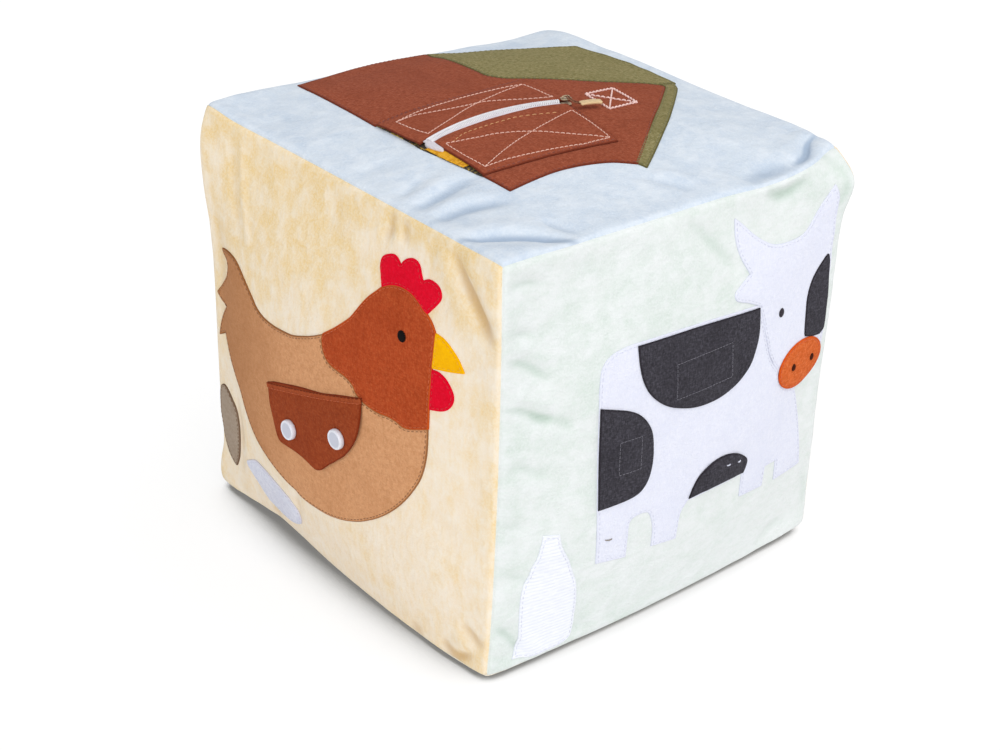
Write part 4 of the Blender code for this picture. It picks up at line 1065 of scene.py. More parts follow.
def felt_look(name, base, dark, pale, edge=None, heather=0.9, edge_reach=0.9,
              edge_share=0.8, speck=430, side_shade=None):
    # Pressed fibres, heathered, and coloured along the cut edge: partly the
    # sewn-down edge, partly painted shade at the step onto the cloth
    look = Recipe(name, 0.95)
    flat = look.attribute("flat", "Vector")
    fibres = look.noise(look.stretched(flat, (1300, 420, 1), 0.5), 1.0, 3, 0.65)
    crossing = look.noise(look.stretched(flat, (460, 1250, 1), 0.35), 1.0, 3, 0.65)
    specks = look.noise(look.place, speck, 4, 0.7)
    clouds = look.noise(look.place, 50, 3, 0.6)
    both = look.math("MULTIPLY", fibres, crossing)
    colour = look.mix(look.level(specks, 0.38, 0.66, 0.0, heather), base, dark)
    colour = look.mix(look.level(both, 0.20, 0.38, 0.0, heather * 0.8),
                      colour, pale)
    colour = look.mix(look.level(clouds, 0.44, 0.68, 0.0, 0.3), colour, dark)
    if side_shade is not None:
        # Painted shade: the piece darkens slowly towards one end, where less light
        # falls
        split = look.node("ShaderNodeSeparateXYZ")
        look.wire(flat, split.inputs[0])
        start, end, towards, most = side_shade
        share = look.level(split.outputs[0], start * MM, end * MM, most, 0.0)
        colour = look.mix(share, colour, towards)
    # Along the cut edge: the sewn-down edge, and painted shade at the step
    if edge is not None:
        share = look.level(look.attribute("edge"), 0.25 * MM, edge_reach * MM,
                           edge_share, 0.0)
        colour = look.mix(share, colour, edge)
    normal = look.bump(clouds, 0.0010, 0.3)
    normal = look.bump(look.math("ADD", both, look.math("MULTIPLY", specks, 0.6)),
                       0.0006, 0.8, normal)
    look.set("Sheen Weight", 0.03)
    look.set("Sheen Roughness", 0.5)
    look.set("Specular IOR Level", 0.05)
    return look.finish(colour, normal)


def thread_look(name, base, dark, rough=0.55, shine=0.5):
    look = Recipe(name, rough)
    look.set("Specular IOR Level", shine)
    twist = look.noise(look.place, 2600, 2, 0.5)
    worn = look.noise(look.place, 160, 3, 0.6)
    colour = look.mix(look.level(twist, 0.35, 0.65, 0.0, 0.5), base, dark)
    colour = look.mix(look.level(worn, 0.5, 0.75, 0.0, 0.4), colour, dark)
    return look.finish(colour, look.bump(twist, 0.0002, 0.6))


def woven_look(name, base, dark, pitch=2600, rough=0.8):
    # A plain weave, seen as fine crossing ribs
    look = Recipe(name, rough)
    flat = look.attribute("flat", "Vector")
    ribs = look.wave(flat, pitch / 6, "X", 0.4)
    weft = look.wave(flat, pitch / 6, "Y", 0.4)
    woven = look.math("MULTIPLY", ribs, weft)
    grain = look.noise(look.place, 900, 3, 0.6)
    colour = look.mix(look.level(woven, 0.1, 0.8, 0.0, 0.55), dark, base)
    colour = look.mix(look.level(grain, 0.45, 0.7, 0.0, 0.35), colour, dark)
    return look.finish(colour, look.bump(woven, 0.0003, 0.7))


def ribbed_look(name, base, dark, pale):
    # Ribbed jersey for the milk bottle, ribs across it
    look = Recipe(name, 0.9)
    flat = look.attribute("flat", "Vector")
    ribs = look.wave(flat, 170, "Y", 1.5)
    fibres = look.noise(look.stretched(flat, (240, 900, 1)), 1.0, 3, 0.6)
    clouds = look.noise(look.place, 60, 3, 0.6)
    colour = look.mix(look.level(ribs, 0.0, 0.6, 0.35, 0.0), base, dark)
    colour = look.mix(look.level(fibres, 0.45, 0.65, 0.0, 0.5), colour, pale)
    colour = look.mix(look.level(clouds, 0.48, 0.7, 0.0, 0.3), colour, dark)
    # Painted shade: darker along the cut edge, at the step onto the cloth
    share = look.level(look.attribute("edge"), 0.15 * MM, 0.6 * MM, 0.4, 0.0)
    colour = look.mix(share, colour, dark)
    normal = look.bump(ribs, 0.0003, 0.25)
    return look.finish(colour, look.bump(fibres, 0.0003, 0.4, normal))


def print_look(name, ground, straw, bright):
    # Dark lining with a loose print of straw strokes
    look = Recipe(name, 0.85)
    flat = look.attribute("flat", "Vector")
    strokes = look.noise(look.stretched(flat, (520, 130, 1), 0.5), 1.0, 2, 0.6, 1.2)
    crossed = look.noise(look.stretched(flat, (160, 560, 1), -0.4), 1.0, 2, 0.6, 1.2)
    weave = look.wave(flat, 420, "X", 0.3)
    colour = look.mix(look.level(strokes, 0.54, 0.60), ground, straw)
    colour = look.mix(look.level(crossed, 0.57, 0.63), colour, bright)
    colour = look.mix(look.level(weave, 0.2, 0.9, 0.0, 0.25), colour, ground)
    return look.finish(colour, look.bump(weave, 0.0002, 0.5))


def plastic_look(name, base, dark, rough, dish_shade=None):
    # Painted shade: the dish colour darkens the middle of a turned piece, its shallow
    # dish
    look = Recipe(name, rough)
    flow = look.noise(look.place, 240, 3, 0.5)
    marks = look.noise(look.place, 1800, 2, 0.6)
    colour = look.mix(look.level(flow, 0.4, 0.7, 0.0, 0.35), base, dark)
    # Painted shade in the shallow dish at the cap's middle
    if dish_shade is not None:
        share = look.level(look.attribute("edge"), 0.66, 0.86, 0.9, 0.0)
        colour = look.mix(share, colour, dish_shade)
    look.set("Specular IOR Level", 0.5)
    look.set("Coat Weight", 0.2)
    return look.finish(colour, look.bump(marks, 0.00006, 0.35))


def metal_look(name, base, dark, rough=0.42):
    look = Recipe(name, rough)
    tarnish = look.noise(look.place, 420, 4, 0.65)
    scratches = look.noise(look.stretched(look.place, (2600, 500, 900)), 1.0, 3, 0.6)
    colour = look.mix(look.level(tarnish, 0.4, 0.65, 0.0, 0.8), base, dark)
    colour = look.mix(look.level(scratches, 0.55, 0.7, 0.0, 0.4), colour, base)
    rough_map = look.level(tarnish, 0.35, 0.7, rough - 0.1, rough + 0.2)
    look.wire(rough_map, look.shader.inputs["Roughness"])
    look.set("Metallic", 0.85)
    return look.finish(colour, look.bump(scratches, 0.00008, 0.4))


def fibre_look(name, base, dark):
    look = Recipe(name, 1.0)
    strands = look.noise(look.stretched(look.place, (300, 900, 500)), 1.0, 5, 0.7, 2.0)
    lumps = look.noise(look.place, 60, 3, 0.6)
    colour = look.mix(look.level(strands, 0.35, 0.65), dark, base)
    normal = look.bump(lumps, 0.004, 0.5)
    return look.finish(colour, look.bump(strands, 0.0008, 0.8, normal))


# A velour's fourth colour is the painted shade of its fold valleys; a felt's fourth is
# the colour along its cut edge, partly painted shade
LOOKS = {
    "butter": velour("butter_velour_nap", rgb(241, 226, 204), rgb(236, 206, 146),
                     rgb(244, 235, 220), rgb(204, 170, 122), cloudy=0.9),
    "mint": velour("mint_velour_nap", rgb(227, 231, 230), rgb(209, 221, 213),
                   rgb(234, 237, 238), rgb(180, 200, 186), (60, 120, 60), 0.25,
                   0.8),
    "sky": velour("sky_velour_nap", rgb(211, 221, 232), rgb(195, 209, 226),
                  rgb(226, 233, 241), rgb(158, 176, 198), (90, 60, 90), 0.5),
    "cream": velour("cream_velour_nap", rgb(238, 232, 220), rgb(228, 218, 198),
                    rgb(244, 241, 234), rgb(204, 192, 168)),
    # The tan felt's painted shade darkens it towards the hen's tail
    "tan": felt_look("tan_wool_felt", rgb(212, 155, 111), rgb(188, 130, 86),
                     rgb(228, 178, 136), rgb(132, 82, 40),
                     heather=0.55, side_shade=(-85, -15, rgb(150, 98, 58), 0.5)),
    "rust": felt_look("rust_wool_felt", rgb(178, 74, 36), rgb(150, 54, 20),
                      rgb(200, 100, 56), rgb(198, 88, 32), 0.6),
    "wing": felt_look("wing_wool_felt", rgb(150, 65, 32), rgb(126, 48, 20),
                      rgb(174, 89, 50), rgb(118, 42, 14), 0.6),
    "hem": felt_look("wing_hem_wool_felt", rgb(160, 74, 40), rgb(136, 56, 26),
                     rgb(184, 98, 58), None, 0.6),
    "red": felt_look("red_wool_felt", rgb(226, 3, 40), rgb(206, 0, 32),
                     rgb(234, 26, 58), None, 0.6),
    "yellow": felt_look("yellow_wool_felt", rgb(250, 185, 0), rgb(240, 170, 0),
                        rgb(253, 198, 12), None, 0.6),
    "hay": felt_look("hay_wool_felt", rgb(228, 166, 36), rgb(196, 130, 22),
                     rgb(244, 194, 78), None, 0.9),
    "taupe": felt_look("taupe_wool_felt", rgb(166, 150, 134), rgb(148, 130, 112),
                       rgb(184, 168, 152), rgb(98, 70, 46), 0.5),
    "lavender": felt_look("lavender_wool_felt", rgb(221, 224, 238),
                          rgb(207, 210, 227), rgb(233, 235, 245),
                          rgb(206, 200, 208), 0.8, 0.6, 0.5),
    "white": felt_look("white_wool_felt", rgb(230, 232, 245), rgb(220, 223, 240),
                       rgb(240, 241, 250), rgb(214, 217, 232), 0.5, 0.6, 0.5),
    "charcoal": felt_look("charcoal_wool_felt", rgb(60, 58, 64), rgb(44, 42, 47),
                          rgb(86, 84, 94), rgb(42, 38, 44), 0.8, speck=620),
    "orange": felt_look("orange_wool_felt", rgb(214, 102, 46), rgb(190, 80, 26),
                        rgb(232, 132, 78), rgb(204, 78, 20), 0.8),
    "brick": felt_look("brick_wool_felt", rgb(150, 76, 52), rgb(128, 60, 38),
                       rgb(176, 100, 74), rgb(98, 40, 26), 0.7),
    "olive": felt_look("olive_wool_felt", rgb(138, 128, 86), rgb(112, 106, 62),
                       rgb(168, 160, 118), rgb(84, 80, 44), 0.8),
    "lining": print_look("printed_lining", rgb(44, 34, 26), rgb(120, 104, 50),
                         rgb(196, 160, 60)),
    "loop": felt_look("loop_pile", rgb(222, 224, 236), rgb(196, 198, 214),
                      rgb(240, 240, 248), None, 0.9),
    "hook": woven_look("hook_tape_weave", rgb(58, 54, 60), rgb(30, 28, 32)),
    "tape": woven_look("zip_tape_weave", rgb(240, 236, 240), rgb(214, 208, 216)),
    "coil": plastic_look("zip_coil_nylon", rgb(240, 238, 242),
                         rgb(222, 218, 226), 0.4),
    "snap": plastic_look("snap_resin", rgb(226, 229, 238), rgb(206, 212, 226), 0.3),
    "cap": plastic_look("snap_cap_resin", rgb(228, 231, 240),
                        rgb(212, 216, 229), 0.35, rgb(188, 192, 208)),
    "ribbon": woven_look("tan_ribbon_weave", rgb(246, 224, 184),
                         rgb(226, 196, 150), 4200),
    "wire": metal_look("dull_bronze_wire", rgb(128, 84, 62), rgb(84, 48, 36), 0.6),
    "bronze": metal_look("bronze_lacquer", rgb(184, 164, 136), rgb(96, 76, 58)),
    "bottle": ribbed_look("bottle_jersey", rgb(238, 240, 248),
                          rgb(212, 217, 228), rgb(248, 249, 252)),
    "filling": fibre_look("polyester_filling", rgb(244, 244, 244),
                          rgb(220, 220, 222)),
}

# Colour, darker colour, and where it isn't the usual: roughness and shine
THREADS = {
    "black_thread": ((26, 20, 20), (12, 10, 10), 0.85, 0.08),
    "nostril_thread": ((74, 34, 22), (46, 20, 14), 0.85, 0.08),
    "cow_eye_thread": ((70, 66, 72), (46, 42, 48), 0.85, 0.08),
    "cheek_thread": ((84, 82, 90), (60, 58, 64), 0.8, 0.1),
    "dark_rust_thread": ((96, 34, 14), (66, 22, 10), 0.85, 0.1),
    "knot_thread": ((150, 142, 136), (112, 104, 98)),
    "brown_thread": ((150, 102, 62), (120, 78, 44)),
    "rust_thread": ((202, 96, 44), (158, 68, 28)),
    "red_thread": ((214, 12, 36), (176, 4, 22)),
    "yellow_thread": ((244, 188, 20), (214, 152, 6)),
    "white_thread": ((236, 194, 178), (214, 160, 142)),
    "window_thread": ((242, 210, 204), (222, 178, 170)),
    "pale_thread": ((222, 224, 238), (196, 198, 216)),
    "gold_thread": ((216, 164, 112), (180, 124, 78)),
    "grey_thread": ((120, 118, 128), (86, 84, 92)),
    "brick_thread": ((132, 62, 44), (104, 44, 32)),
    "olive_thread": ((112, 110, 66), (86, 84, 48)),
    "orange_thread": ((214, 96, 40), (178, 70, 24)),
    "taupe_thread": ((132, 106, 80), (96, 74, 54)),
}
for thread, (base, dark, *finish) in THREADS.items():
    LOOKS[thread] = thread_look(thread + "_sheen", rgb(*base), rgb(*dark), *finish)

# ------------------------------------------------------------ the soft cube
# Patches where the colour turns deeper or paler: middle, half sizes and amount
# Some are nap colour; others are painted shade along seams, folds and corners, and
# painted light and shade across a side
NAP_AND_LIGHT_TONES = {
    "front": ((-72, 70, 34, 40, 0.16), (-30, 70, 30, 34, 0.13),
              (-4, 98, 96, 9, 0.42), (86, 98, 22, 9, 0.18),
              (-92, -30, 12, 60, 0.03), (86, -92, 18, 8, 0.06),
              (103, 0, 3, 110, 0.08), (82, 30, 30, 60, -0.07),
              (20, -84, 90, 26, -0.12), (-30, 44, 30, 14, -0.05),
              (0, -40, 80, 44, -0.08)),
    "right": ((-60, 50, 50, 50, 0.05), (66, 92, 22, 12, 0.10),
              (-96, -60, 10, 50, 0.04), (20, 76, 60, 24, 0.06),
              (-98, -92, 14, 10, 0.05), (40, -80, 90, 22, -0.10),
              (90, -40, 20, 50, -0.06)),
    "top": ((98, 58, 7, 20, 0.14), (60, -92, 40, 8, 0.05),
            (-60, -90, 40, 14, 0.03), (-98, 60, 8, 40, 0.05),
            (80, 40, 20, 30, -0.03), (20, -72, 60, 8, -0.05)),
    "back": ((-60, 70, 30, 26, 0.06), (50, -60, 40, 30, 0.04)),
    "left": ((60, 60, 30, 26, 0.05), (-50, -50, 40, 30, 0.03)),
    "base": (),
}
# The depth of fold at which the painted fold shade is darkest
FOLD_SHADE = 2.2
PANELS = {
    "front": ("hen_panel", "butter", "butter_velour"),
    "right": ("cow_panel", "mint", "mint_velour"),
    "top": ("barn_panel", "sky", "sky_velour"),
    "back": ("back_panel", "butter", "butter_velour"),
    "left": ("left_panel", "cream", "cream_velour"),
    "base": ("base_panel", "cream", "cream_velour"),
}


def nap_and_light_tones(face, x, y):
    tone = np.zeros_like(x)
    for across, up, wide, high, amount in NAP_AND_LIGHT_TONES[face]:
        away = np.hypot((x - across) / wide, (y - up) / high)
        tone += amount * np.exp(-away ** 2)
    return tone


def make_panel(face):
    node, look, slot = PANELS[face]
    points = CLOTH[face].reshape(-1, 3)
    thing = add_mesh(node + "_cloth", points, grid_faces(GRID, GRID),
                     LOOKS[look])
    half_across, half_up = half_sizes(face)
    a, b = np.meshgrid(SHARES * half_across, SHARES * half_up)
    a, b = a.reshape(-1), b.reshape(-1)
    add_values(thing, "flat", np.stack((a, b, np.zeros_like(a)), -1))
    # Nap colour and painted light and shade, by patches
    add_values(thing, "tone", nap_and_light_tones(face, a / MM, b / MM))
    # Painted shade: the depth of the fold valleys
    add_values(thing, "shade", -fold_height(face, a / MM, b / MM) / FOLD_SHADE)
    stand_for(node)


def make_filling():
    # The stuffing: the same form inside the cloth, with every other point
    points = []
    faces = []
    for face in FACES:
        grid = (CLOTH[face] - CLOTH_NORMALS[face] * 2.6 * MM)[::4, ::4]
        rows, columns = grid.shape[:2]
        faces += grid_faces(rows, columns, len(points))
        points += grid.reshape(-1, 3).tolist()
    points = np.array(points)
    points[:, 2] = np.maximum(points[:, 2], 0.0022)
    number, kept = weld_close(points, 4.5 * MM)
    faces = [tuple(number[i] for i in f) for f in faces]
    faces = [tuple(dict.fromkeys(f)) for f in faces]
    faces = [f for f in faces if len(f) > 2]
    thing = add_mesh("filling_pad", kept, faces, LOOKS["filling"])
    stand_for("fibre_filling")


def weld_close(points, reach):
    # Join points of neighbouring sides that lie close together
    tree = KDTree(len(points))
    for i, p in enumerate(points):
        tree.insert(p, i)
    tree.balance()
    number = {}
    kept = []
    for i, p in enumerate(points):
        if i in number:
            continue
        for found in tree.find_range(p, reach):
            number.setdefault(found[1], len(kept))
        kept.append(p)
    return number, np.array(kept)


# -------------------------------------------------------------- the pictures
# Heights over the velour, in the order that the felt is laid
FIRST = 0.0
FELT = 0.75
SECOND = 0.75
THIN = 0.5
WHITE_FELT = 0.55


def shaped(name, node, felt, look, body="block",
           spacing=2.0):
    thing = felt.build(name, LOOKS[look], body, spacing)
    stand_for(node)
    return thing


def sew_round(name, felt, thread, body="block", inset=1.5, **sizes):
    line = inset_line(felt.outline, inset)
    return stitches(name, felt, [line], LOOKS[thread], body, **sizes)


def make_hen():
    middle = MIDDLES["front"]
    pieces = (
        ("hen_body", HEN_BODY, "tan", "tan_felt", "brown_thread"),
        ("hen_head", HEN_HEAD, "rust", "rust_felt", "rust_thread"),
        ("hen_comb", HEN_COMB, "red", "red_felt", "red_thread"),
        ("hen_beak", HEN_BEAK, "yellow", "yellow_felt", "yellow_thread"),
        ("hen_wattle", HEN_WATTLE, "red", "red_felt", "red_thread"),
    )
    made = {}
    for name, shares, look, slot, thread in pieces:
        felt = Felt("front", grown(smooth_outline(shares, middle)), FIRST,
                    FELT, seam=1.2)
        shaped(name + "_felt", name, felt, look)
        sew_round(name + "_stitches", felt, thread, inset=1.2, radius=0.2)
        made[name] = felt
    eggs = (("taupe_egg", TAUPE_EGG, "taupe", "taupe_felt", "taupe_thread"),
            ("white_egg", WHITE_EGG, "lavender", "lavender_felt", "pale_thread"))
    for name, shares, look, slot, thread in eggs:
        felt = Felt("front", smooth_outline(shares, middle), FIRST, FELT,
                    seam=1.2)
        shaped(name + "_felt", name, felt, look)
        sew_round(name + "_stitches", felt, thread, inset=1.2)
    make_eye("hen_eye", "front", HEN_EYE, made["hen_head"])


def make_eye(name, face, shares, carrier, look="black_thread"):
    # An embroidered eye: satin stitches laid side by side over a small disc
    across, up, half_across, half_up = shares
    middle = MIDDLES[face]
    rows = max(6, round(half_up * 2 / 0.42))
    levels = (np.arange(rows) + 0.5) / rows * 2 - 1
    shape = np.linspace(-1, 1, 9)
    centres = []
    normals = []
    for level in levels:
        reach = half_across * sqrt(1 - level * level)
        x = across + middle[0] + shape * reach
        y = up + middle[1] + level * half_up + shape * 0
        dome = 0.42 * (1 - level * level) * (1 - shape ** 4)
        height = carrier.top(x, y) + 0.1 + dome
        low = place(face, x, y, height)
        high = place(face, x, y, height + 1)
        centres.append(low)
        normals.append(unit(high - low))
    sizes = np.array((0.5, 0.9, 1, 1, 1, 1, 1, 0.9, 0.5)) * 0.27 * MM
    points, faces = tubes(np.array(centres), np.array(normals), sizes)
    thing = add_mesh(name + "_stitched", points, faces, LOOKS[look])
    stand_for(name)


# ------------------------------------------------------------------ the wing
# The place of the far upper corner in HEN_WING
WING_CORNER = 6
WING_LOW = 0.95
WING_RISE = 1.15
WING_RISE_WIDTH = 11.0
# The snap caps, where the photograph shows them
SNAP_PLACES = {"left": (-21.6, -25.5), "right": (15.3, -12.9)}
CAP_RADIUS = 4.9
CAP_HEIGHT = 2.8


def wing_felt():
    middle = np.array(MIDDLES["front"])
    start = np.array(HEN_WING[0]) + middle
    end = np.array(HEN_WING[WING_CORNER]) + middle
    along = (end - start) / np.linalg.norm(end - start)
    down = np.array((along[1], -along[0]))

    def rise(x, y):
        away = (x - start[0]) * down[0] + (y - start[1]) * down[1]
        share = np.clip(away / WING_RISE_WIDTH, 0, 1)
        height = WING_RISE * share * share * (3 - 2 * share)
        # The felt dips where the snaps hold it and lifts between them
        for x0, y0 in SNAP_PLACES.values():
            near = np.exp(-(((x - x0) ** 2 + (y - y0) ** 2) / 64))
            height = height - 0.3 * near
        lift = np.exp(-((x + 4) / 9) ** 2) * np.clip((away - 20) / 20, 0, 1)
        return height + 0.5 * lift
    felt = Felt("front", smooth_outline(HEN_WING, middle), WING_LOW, FELT,
                rise, seam=1.4, groove=0.12, puff=0.1)
    return felt, start, end, down


def make_wing():
    felt, start, end, down = wing_felt()
    shaped("hen_wing_felt", "hen_wing", felt, "wing", "hen_wing")
    # The folded hem along the sewn edge
    corners = [start + down * 0.1, start + down * 2.4, end + down * 2.4,
               end + down * 0.1]
    hem = Felt("front", straight_outline(corners), WING_LOW + FELT + 0.05, 0.25,
               None, seam=1.0, groove=0.0, puff=0.05)
    thing = hem.build("wing_hem_felt", LOOKS["hem"], "hen_wing", 1.6)
    for name, step, thread in (("wing_hem_stitches", 2.5, "rust_thread"),
                               ("wing_edge_stitches", 0.3, "dark_rust_thread")):
        band = [start + down * step + (end - start) * k
                for k in (0.015, 0.25, 0.5, 0.75, 0.985)]
        stitches(name, hem, [band], LOOKS[thread], "hen_wing", share=0.93,
                 closed=False, radius=0.17)
    for side, (x, y) in SNAP_PLACES.items():
        make_snap(side, x, y, felt)


CAP_PROFILE = ((0.0, 0.9), (0.3, 0.903), (0.55, 0.91), (0.72, 0.925),
               (0.81, 0.965), (0.87, 1.0), (0.92, 0.98), (0.96, 0.88),
               (0.99, 0.66), (1.0, 0.4), (0.97, 0.16), (0.86, 0.02),
               (0.7, -0.03))


def turned(name, profile, stand, surface, body, sides=48, close=True):
    # Turn radius and height pairs, in millimetres, about a normal
    point, across, up, normal = stand
    turn = np.arange(sides) * 2 * pi / sides
    rings = []
    for radius, height in profile:
        ring = (across[None] * np.cos(turn)[:, None]
                + up[None] * np.sin(turn)[:, None]) * radius * MM
        rings.append(point + ring + normal * height * MM)
    faces = [face[::-1] for face in ring_faces(len(profile), sides)]
    last = (len(profile) - 1) * sides
    if close:
        faces.append(tuple(range(sides)))
        faces.append(tuple(last + m for m in reversed(range(sides))))
    else:
        for m in range(sides):
            after = (m + 1) % sides
            faces.append((last + after, last + m, m, after))
    return add_mesh(name, np.concatenate(rings), faces, surface, body)


def frame_at(face, x, y, height):
    x = np.array([x, x + 2.0, x - 2.0, x])
    y = np.array([y, y, y, y + 2.0])
    points = place(face, x, y, height)
    across = unit(points[1] - points[2])
    up = points[3] - points[0]
    normal = unit(np.cross(across, up))
    return points[0], across, np.cross(normal, across), normal


def make_snap(side, x, y, felt):
    spot = np.array((x,)), np.array((y,))
    top = float(felt.top(*spot)[0])
    under = float(felt.under(*spot)[0])
    cap = [(r * CAP_RADIUS, h * CAP_HEIGHT) for r, h in CAP_PROFILE]
    cap[0] = (0.02, cap[0][1])
    thing = turned(side + "_cap", cap, frame_at("front", x, y, top),
                   LOOKS["cap"], "hen_wing")
    add_values(thing, "edge", np.repeat([r for r, h in CAP_PROFILE], 48))
    stand_for(side + "_snap_cap")
    ring = ((2.1, 0.25), (2.3, 0.0), (3.9, -0.05), (4.4, 0.3), (4.5, 0.8),
            (4.5, 1.2), (2.1, 1.2))
    thing = turned(side + "_socket", ring, frame_at("front", x, y, under - 1.15),
                   LOOKS["snap"], "hen_wing", close=False)
    stand_for(side + "_snap_socket")
    stud = ((0.02, 1.55), (0.9, 1.5), (1.5, 1.2), (1.7, 0.8), (1.45, 0.45),
            (1.6, 0.3), (3.9, 0.25), (4.3, 0.1), (4.3, -0.15), (0.02, -0.2))
    thing = turned(side + "_stud", stud, frame_at("front", x, y, SECOND + 0.1),
                   LOOKS["snap"], "block")
    stand_for(side + "_snap_stud")


# ------------------------------------------------------------------- the cow
def make_cow():
    middle = MIDDLES["right"]
    pieces = (
        ("cow_body", COW_BODY, "white", "white_felt", "pale_thread"),
        ("cow_head", COW_HEAD, "white", "white_felt", "pale_thread"),
        ("milk_bottle", BOTTLE, "bottle", "white_felt", "pale_thread"),
    )
    made = {}
    for name, shares, look, slot, thread in pieces:
        felt = Felt("right", grown(smooth_outline(shares, middle)), FIRST,
                    WHITE_FELT, seam=1.3, groove=0.1)
        shaped(name + "_felt", name, felt, look)
        sew_round(name + "_stitches", felt, thread, inset=1.3, radius=0.17)
        made[name] = felt
    cheek = Felt("right", smooth_outline(COW_CHEEK, middle), SECOND, THIN,
                 seam=1.2, groove=0.15, puff=0.1)
    shaped("cow_cheek_felt", "cow_cheek_patch", cheek, "charcoal")
    sew_round("cow_cheek_stitches", cheek, "cheek_thread", inset=1.2, radius=0.15)
    muzzle = Felt("right", oval_outline(COW_MUZZLE, middle), SECOND, 0.8,
                  seam=1.3, groove=0.2, puff=0.2)
    shaped("cow_muzzle_felt", "cow_muzzle", muzzle, "orange")
    sew_round("cow_muzzle_stitches", muzzle, "orange_thread", inset=1.3)
    make_eye("cow_eye", "right", COW_EYE, made["cow_head"], "cow_eye_thread")
    for side, shares in zip(("left", "right"), NOSTRIL):
        make_eye(side + "_nostril", "right", shares, muzzle, "nostril_thread")
    line = np.array(((50.4, 29.5), (53.7, 19.6), (57.4, 13.1)))
    stitches("cow_chin_stitches", made["cow_body"], [line],
             LOOKS["pale_thread"], closed=False, radius=0.16, pitch=2.2)
    knot = np.array(((-48.4, -41.7), (-46.0, -42.3), (-43.3, -42.3)))
    stitches("cow_leg_knot", made["cow_body"], [knot], LOOKS["knot_thread"],
             closed=False, radius=0.34, pitch=2.6, share=0.95)


# Rise of a spot over its hook-and-loop square
LOOP = 0.55
HOOK = 0.5
SLOPE = 5.0


def patch_rise(patch, middle):
    across, up, half_across, half_up = patch
    height = LOOP + HOOK + 0.1

    def rise(x, y):
        near = (half_across + SLOPE - abs(x - across - middle[0])) / SLOPE
        level = (half_up + SLOPE - abs(y - up - middle[1])) / SLOPE
        share = np.clip(near, 0, 1) * np.clip(level, 0, 1)
        return height * share * share * (3 - 2 * share)
    return rise


# Stitched squares that hold the hook tape, as the photograph shows them
PATCH_STITCHES = {
    "back": (((-11.5, 34.8), (24.0, 34.9), (24.0, 18.7), (-11.6, 18.6)),),
    "rump": (((-43.8, 6.9), (-31.4, 6.9), (-31.5, -9.1), (-43.9, -9.1)),),
    "belly": (((24.9, -27.0), (27.3, -26.9)), ((32.7, -28.1), (35.0, -27.9))),
}


def make_spots():
    middle = np.array(MIDDLES["right"])
    spots = (("back", BACK_SPOT, BACK_PATCH), ("rump", RUMP_SPOT, RUMP_PATCH),
             ("belly", BELLY_SPOT, BELLY_PATCH))
    for name, shares, patch in spots:
        across, up, half_across, half_up = patch
        corners = [(across + half_across * sx, up + half_up * sy)
                   for sx, sy in ((-1, -1), (1, -1), (1, 1), (-1, 1))]
        square = straight_outline(corners, middle)
        body = name + "_spot"
        loop = Felt("right", square, SECOND + 0.05, LOOP, None, 1.0, 0.15, 0.05)
        shaped(name + "_loop_pile", name + "_loop_square", loop, "loop",
               spacing=2.4)
        sew_round(name + "_loop_stitches", loop, "pale_thread", inset=1.0,
                  radius=0.16)
        hook = Felt("right", square, SECOND + 0.1 + LOOP, HOOK, None, 1.0, 0.1,
                    0.0)
        shaped(name + "_hook_tape", name + "_hook_square", hook, "hook",
               body, spacing=2.4)
        felt = Felt("right", smooth_outline(shares, middle), SECOND, FELT,
                    patch_rise(patch, middle), seam=30, groove=0, puff=0.0)
        shaped(name + "_spot_felt", name + "_spot", felt, "charcoal",
               body)
        closed = name != "belly"
        thread = "grey_thread" if closed else "pale_thread"
        stitches(name + "_patch_stitches", felt, PATCH_STITCHES[name],
                 LOOKS[thread], body, pitch=1.9, share=0.9 if closed else 0.98,
                 radius=0.13 if closed else 0.34, closed=closed)


# ------------------------------------------------------------------ the barn
# Heights of the pocket's layers
LINING_LOW = 0.1
LINING = 0.4
HAY_LOW = 0.55
DOOR_LOW = 1.2
# The zip's base over the CAD's velour, as the slider rides
ZIP_LIFT = 2.4
COIL_START, COIL_END = 3.6, 79.2
DOOR_ENDS = {"left": 82.6, "right": 78.4}
LEFT_DOOR_START, RIGHT_DOOR_START = -3.5, 0.5
TAPE_INNER, TAPE_OUTER = 0.9, 3.0
DOOR_EDGE = 1.95
EDGE_STEPS = 90

# Stitching on the doors and the loft window, as the photograph shows it
DOOR_LINES = {
    "left": (
        ((1.5, 17.9), (-8.1, 18.6), (-20.3, 18.7), (-21.6, 13),
         (-23.2, 4.4), (-24.4, -9.7), (-24.1, -25.4), (-23.7, -40.1),
         (-21.7, -56.4), (-12, -56.3), (-1.1, -55)),
        ((-21.7, -56.4), (-21.2, -46.3), (-18, -34.8), (-15.6, -22.5),
         (-13.8, -10.2), (-8, 0.4), (-2.2, 8.9), (1.5, 17.9)),
        ((-1.1, -55), (-5.3, -41.5), (-13, -19.9), (-17.4, -0.8),
         (-20.3, 18.7)),
    ),
    "right": (
        ((17.5, 14.6), (32.6, 12.6), (47.5, 9.5), (46.6, -5.6),
         (43.8, -18.7), (41.3, -31.1), (38.8, -43.5), (38.1, -55.9),
         (25.3, -56.3), (11.3, -55.4)),
        ((11.3, -55.4), (14.6, -41.9), (18, -29.2), (26.3, -15.9),
         (36.6, -4.5), (47.5, 9.5)),
        ((38.1, -55.9), (30.9, -36.4), (26.1, -19.4), (22, -3), (17.5, 14.6)),
    ),
}
GOLD_LINE = (
    (12, -52), (8.8, -42.7), (8.3, -31.1), (8.9, -19.5), (10.2, -10.2),
    (14.3, 1.2), (16.5, 7.5))
WINDOW = ((2.6, 36.9), (1.6, 55.3), (22, 51.3), (22.5, 33.5))


def zip_point(x, y):
    half_across, half_up = half_sizes("top")
    middle = MIDDLES["top"]
    return cad_point("top", (x + middle[0]) * MM / half_across,
                     (y + middle[1]) * MM / half_up, ZIP_LIFT * MM)


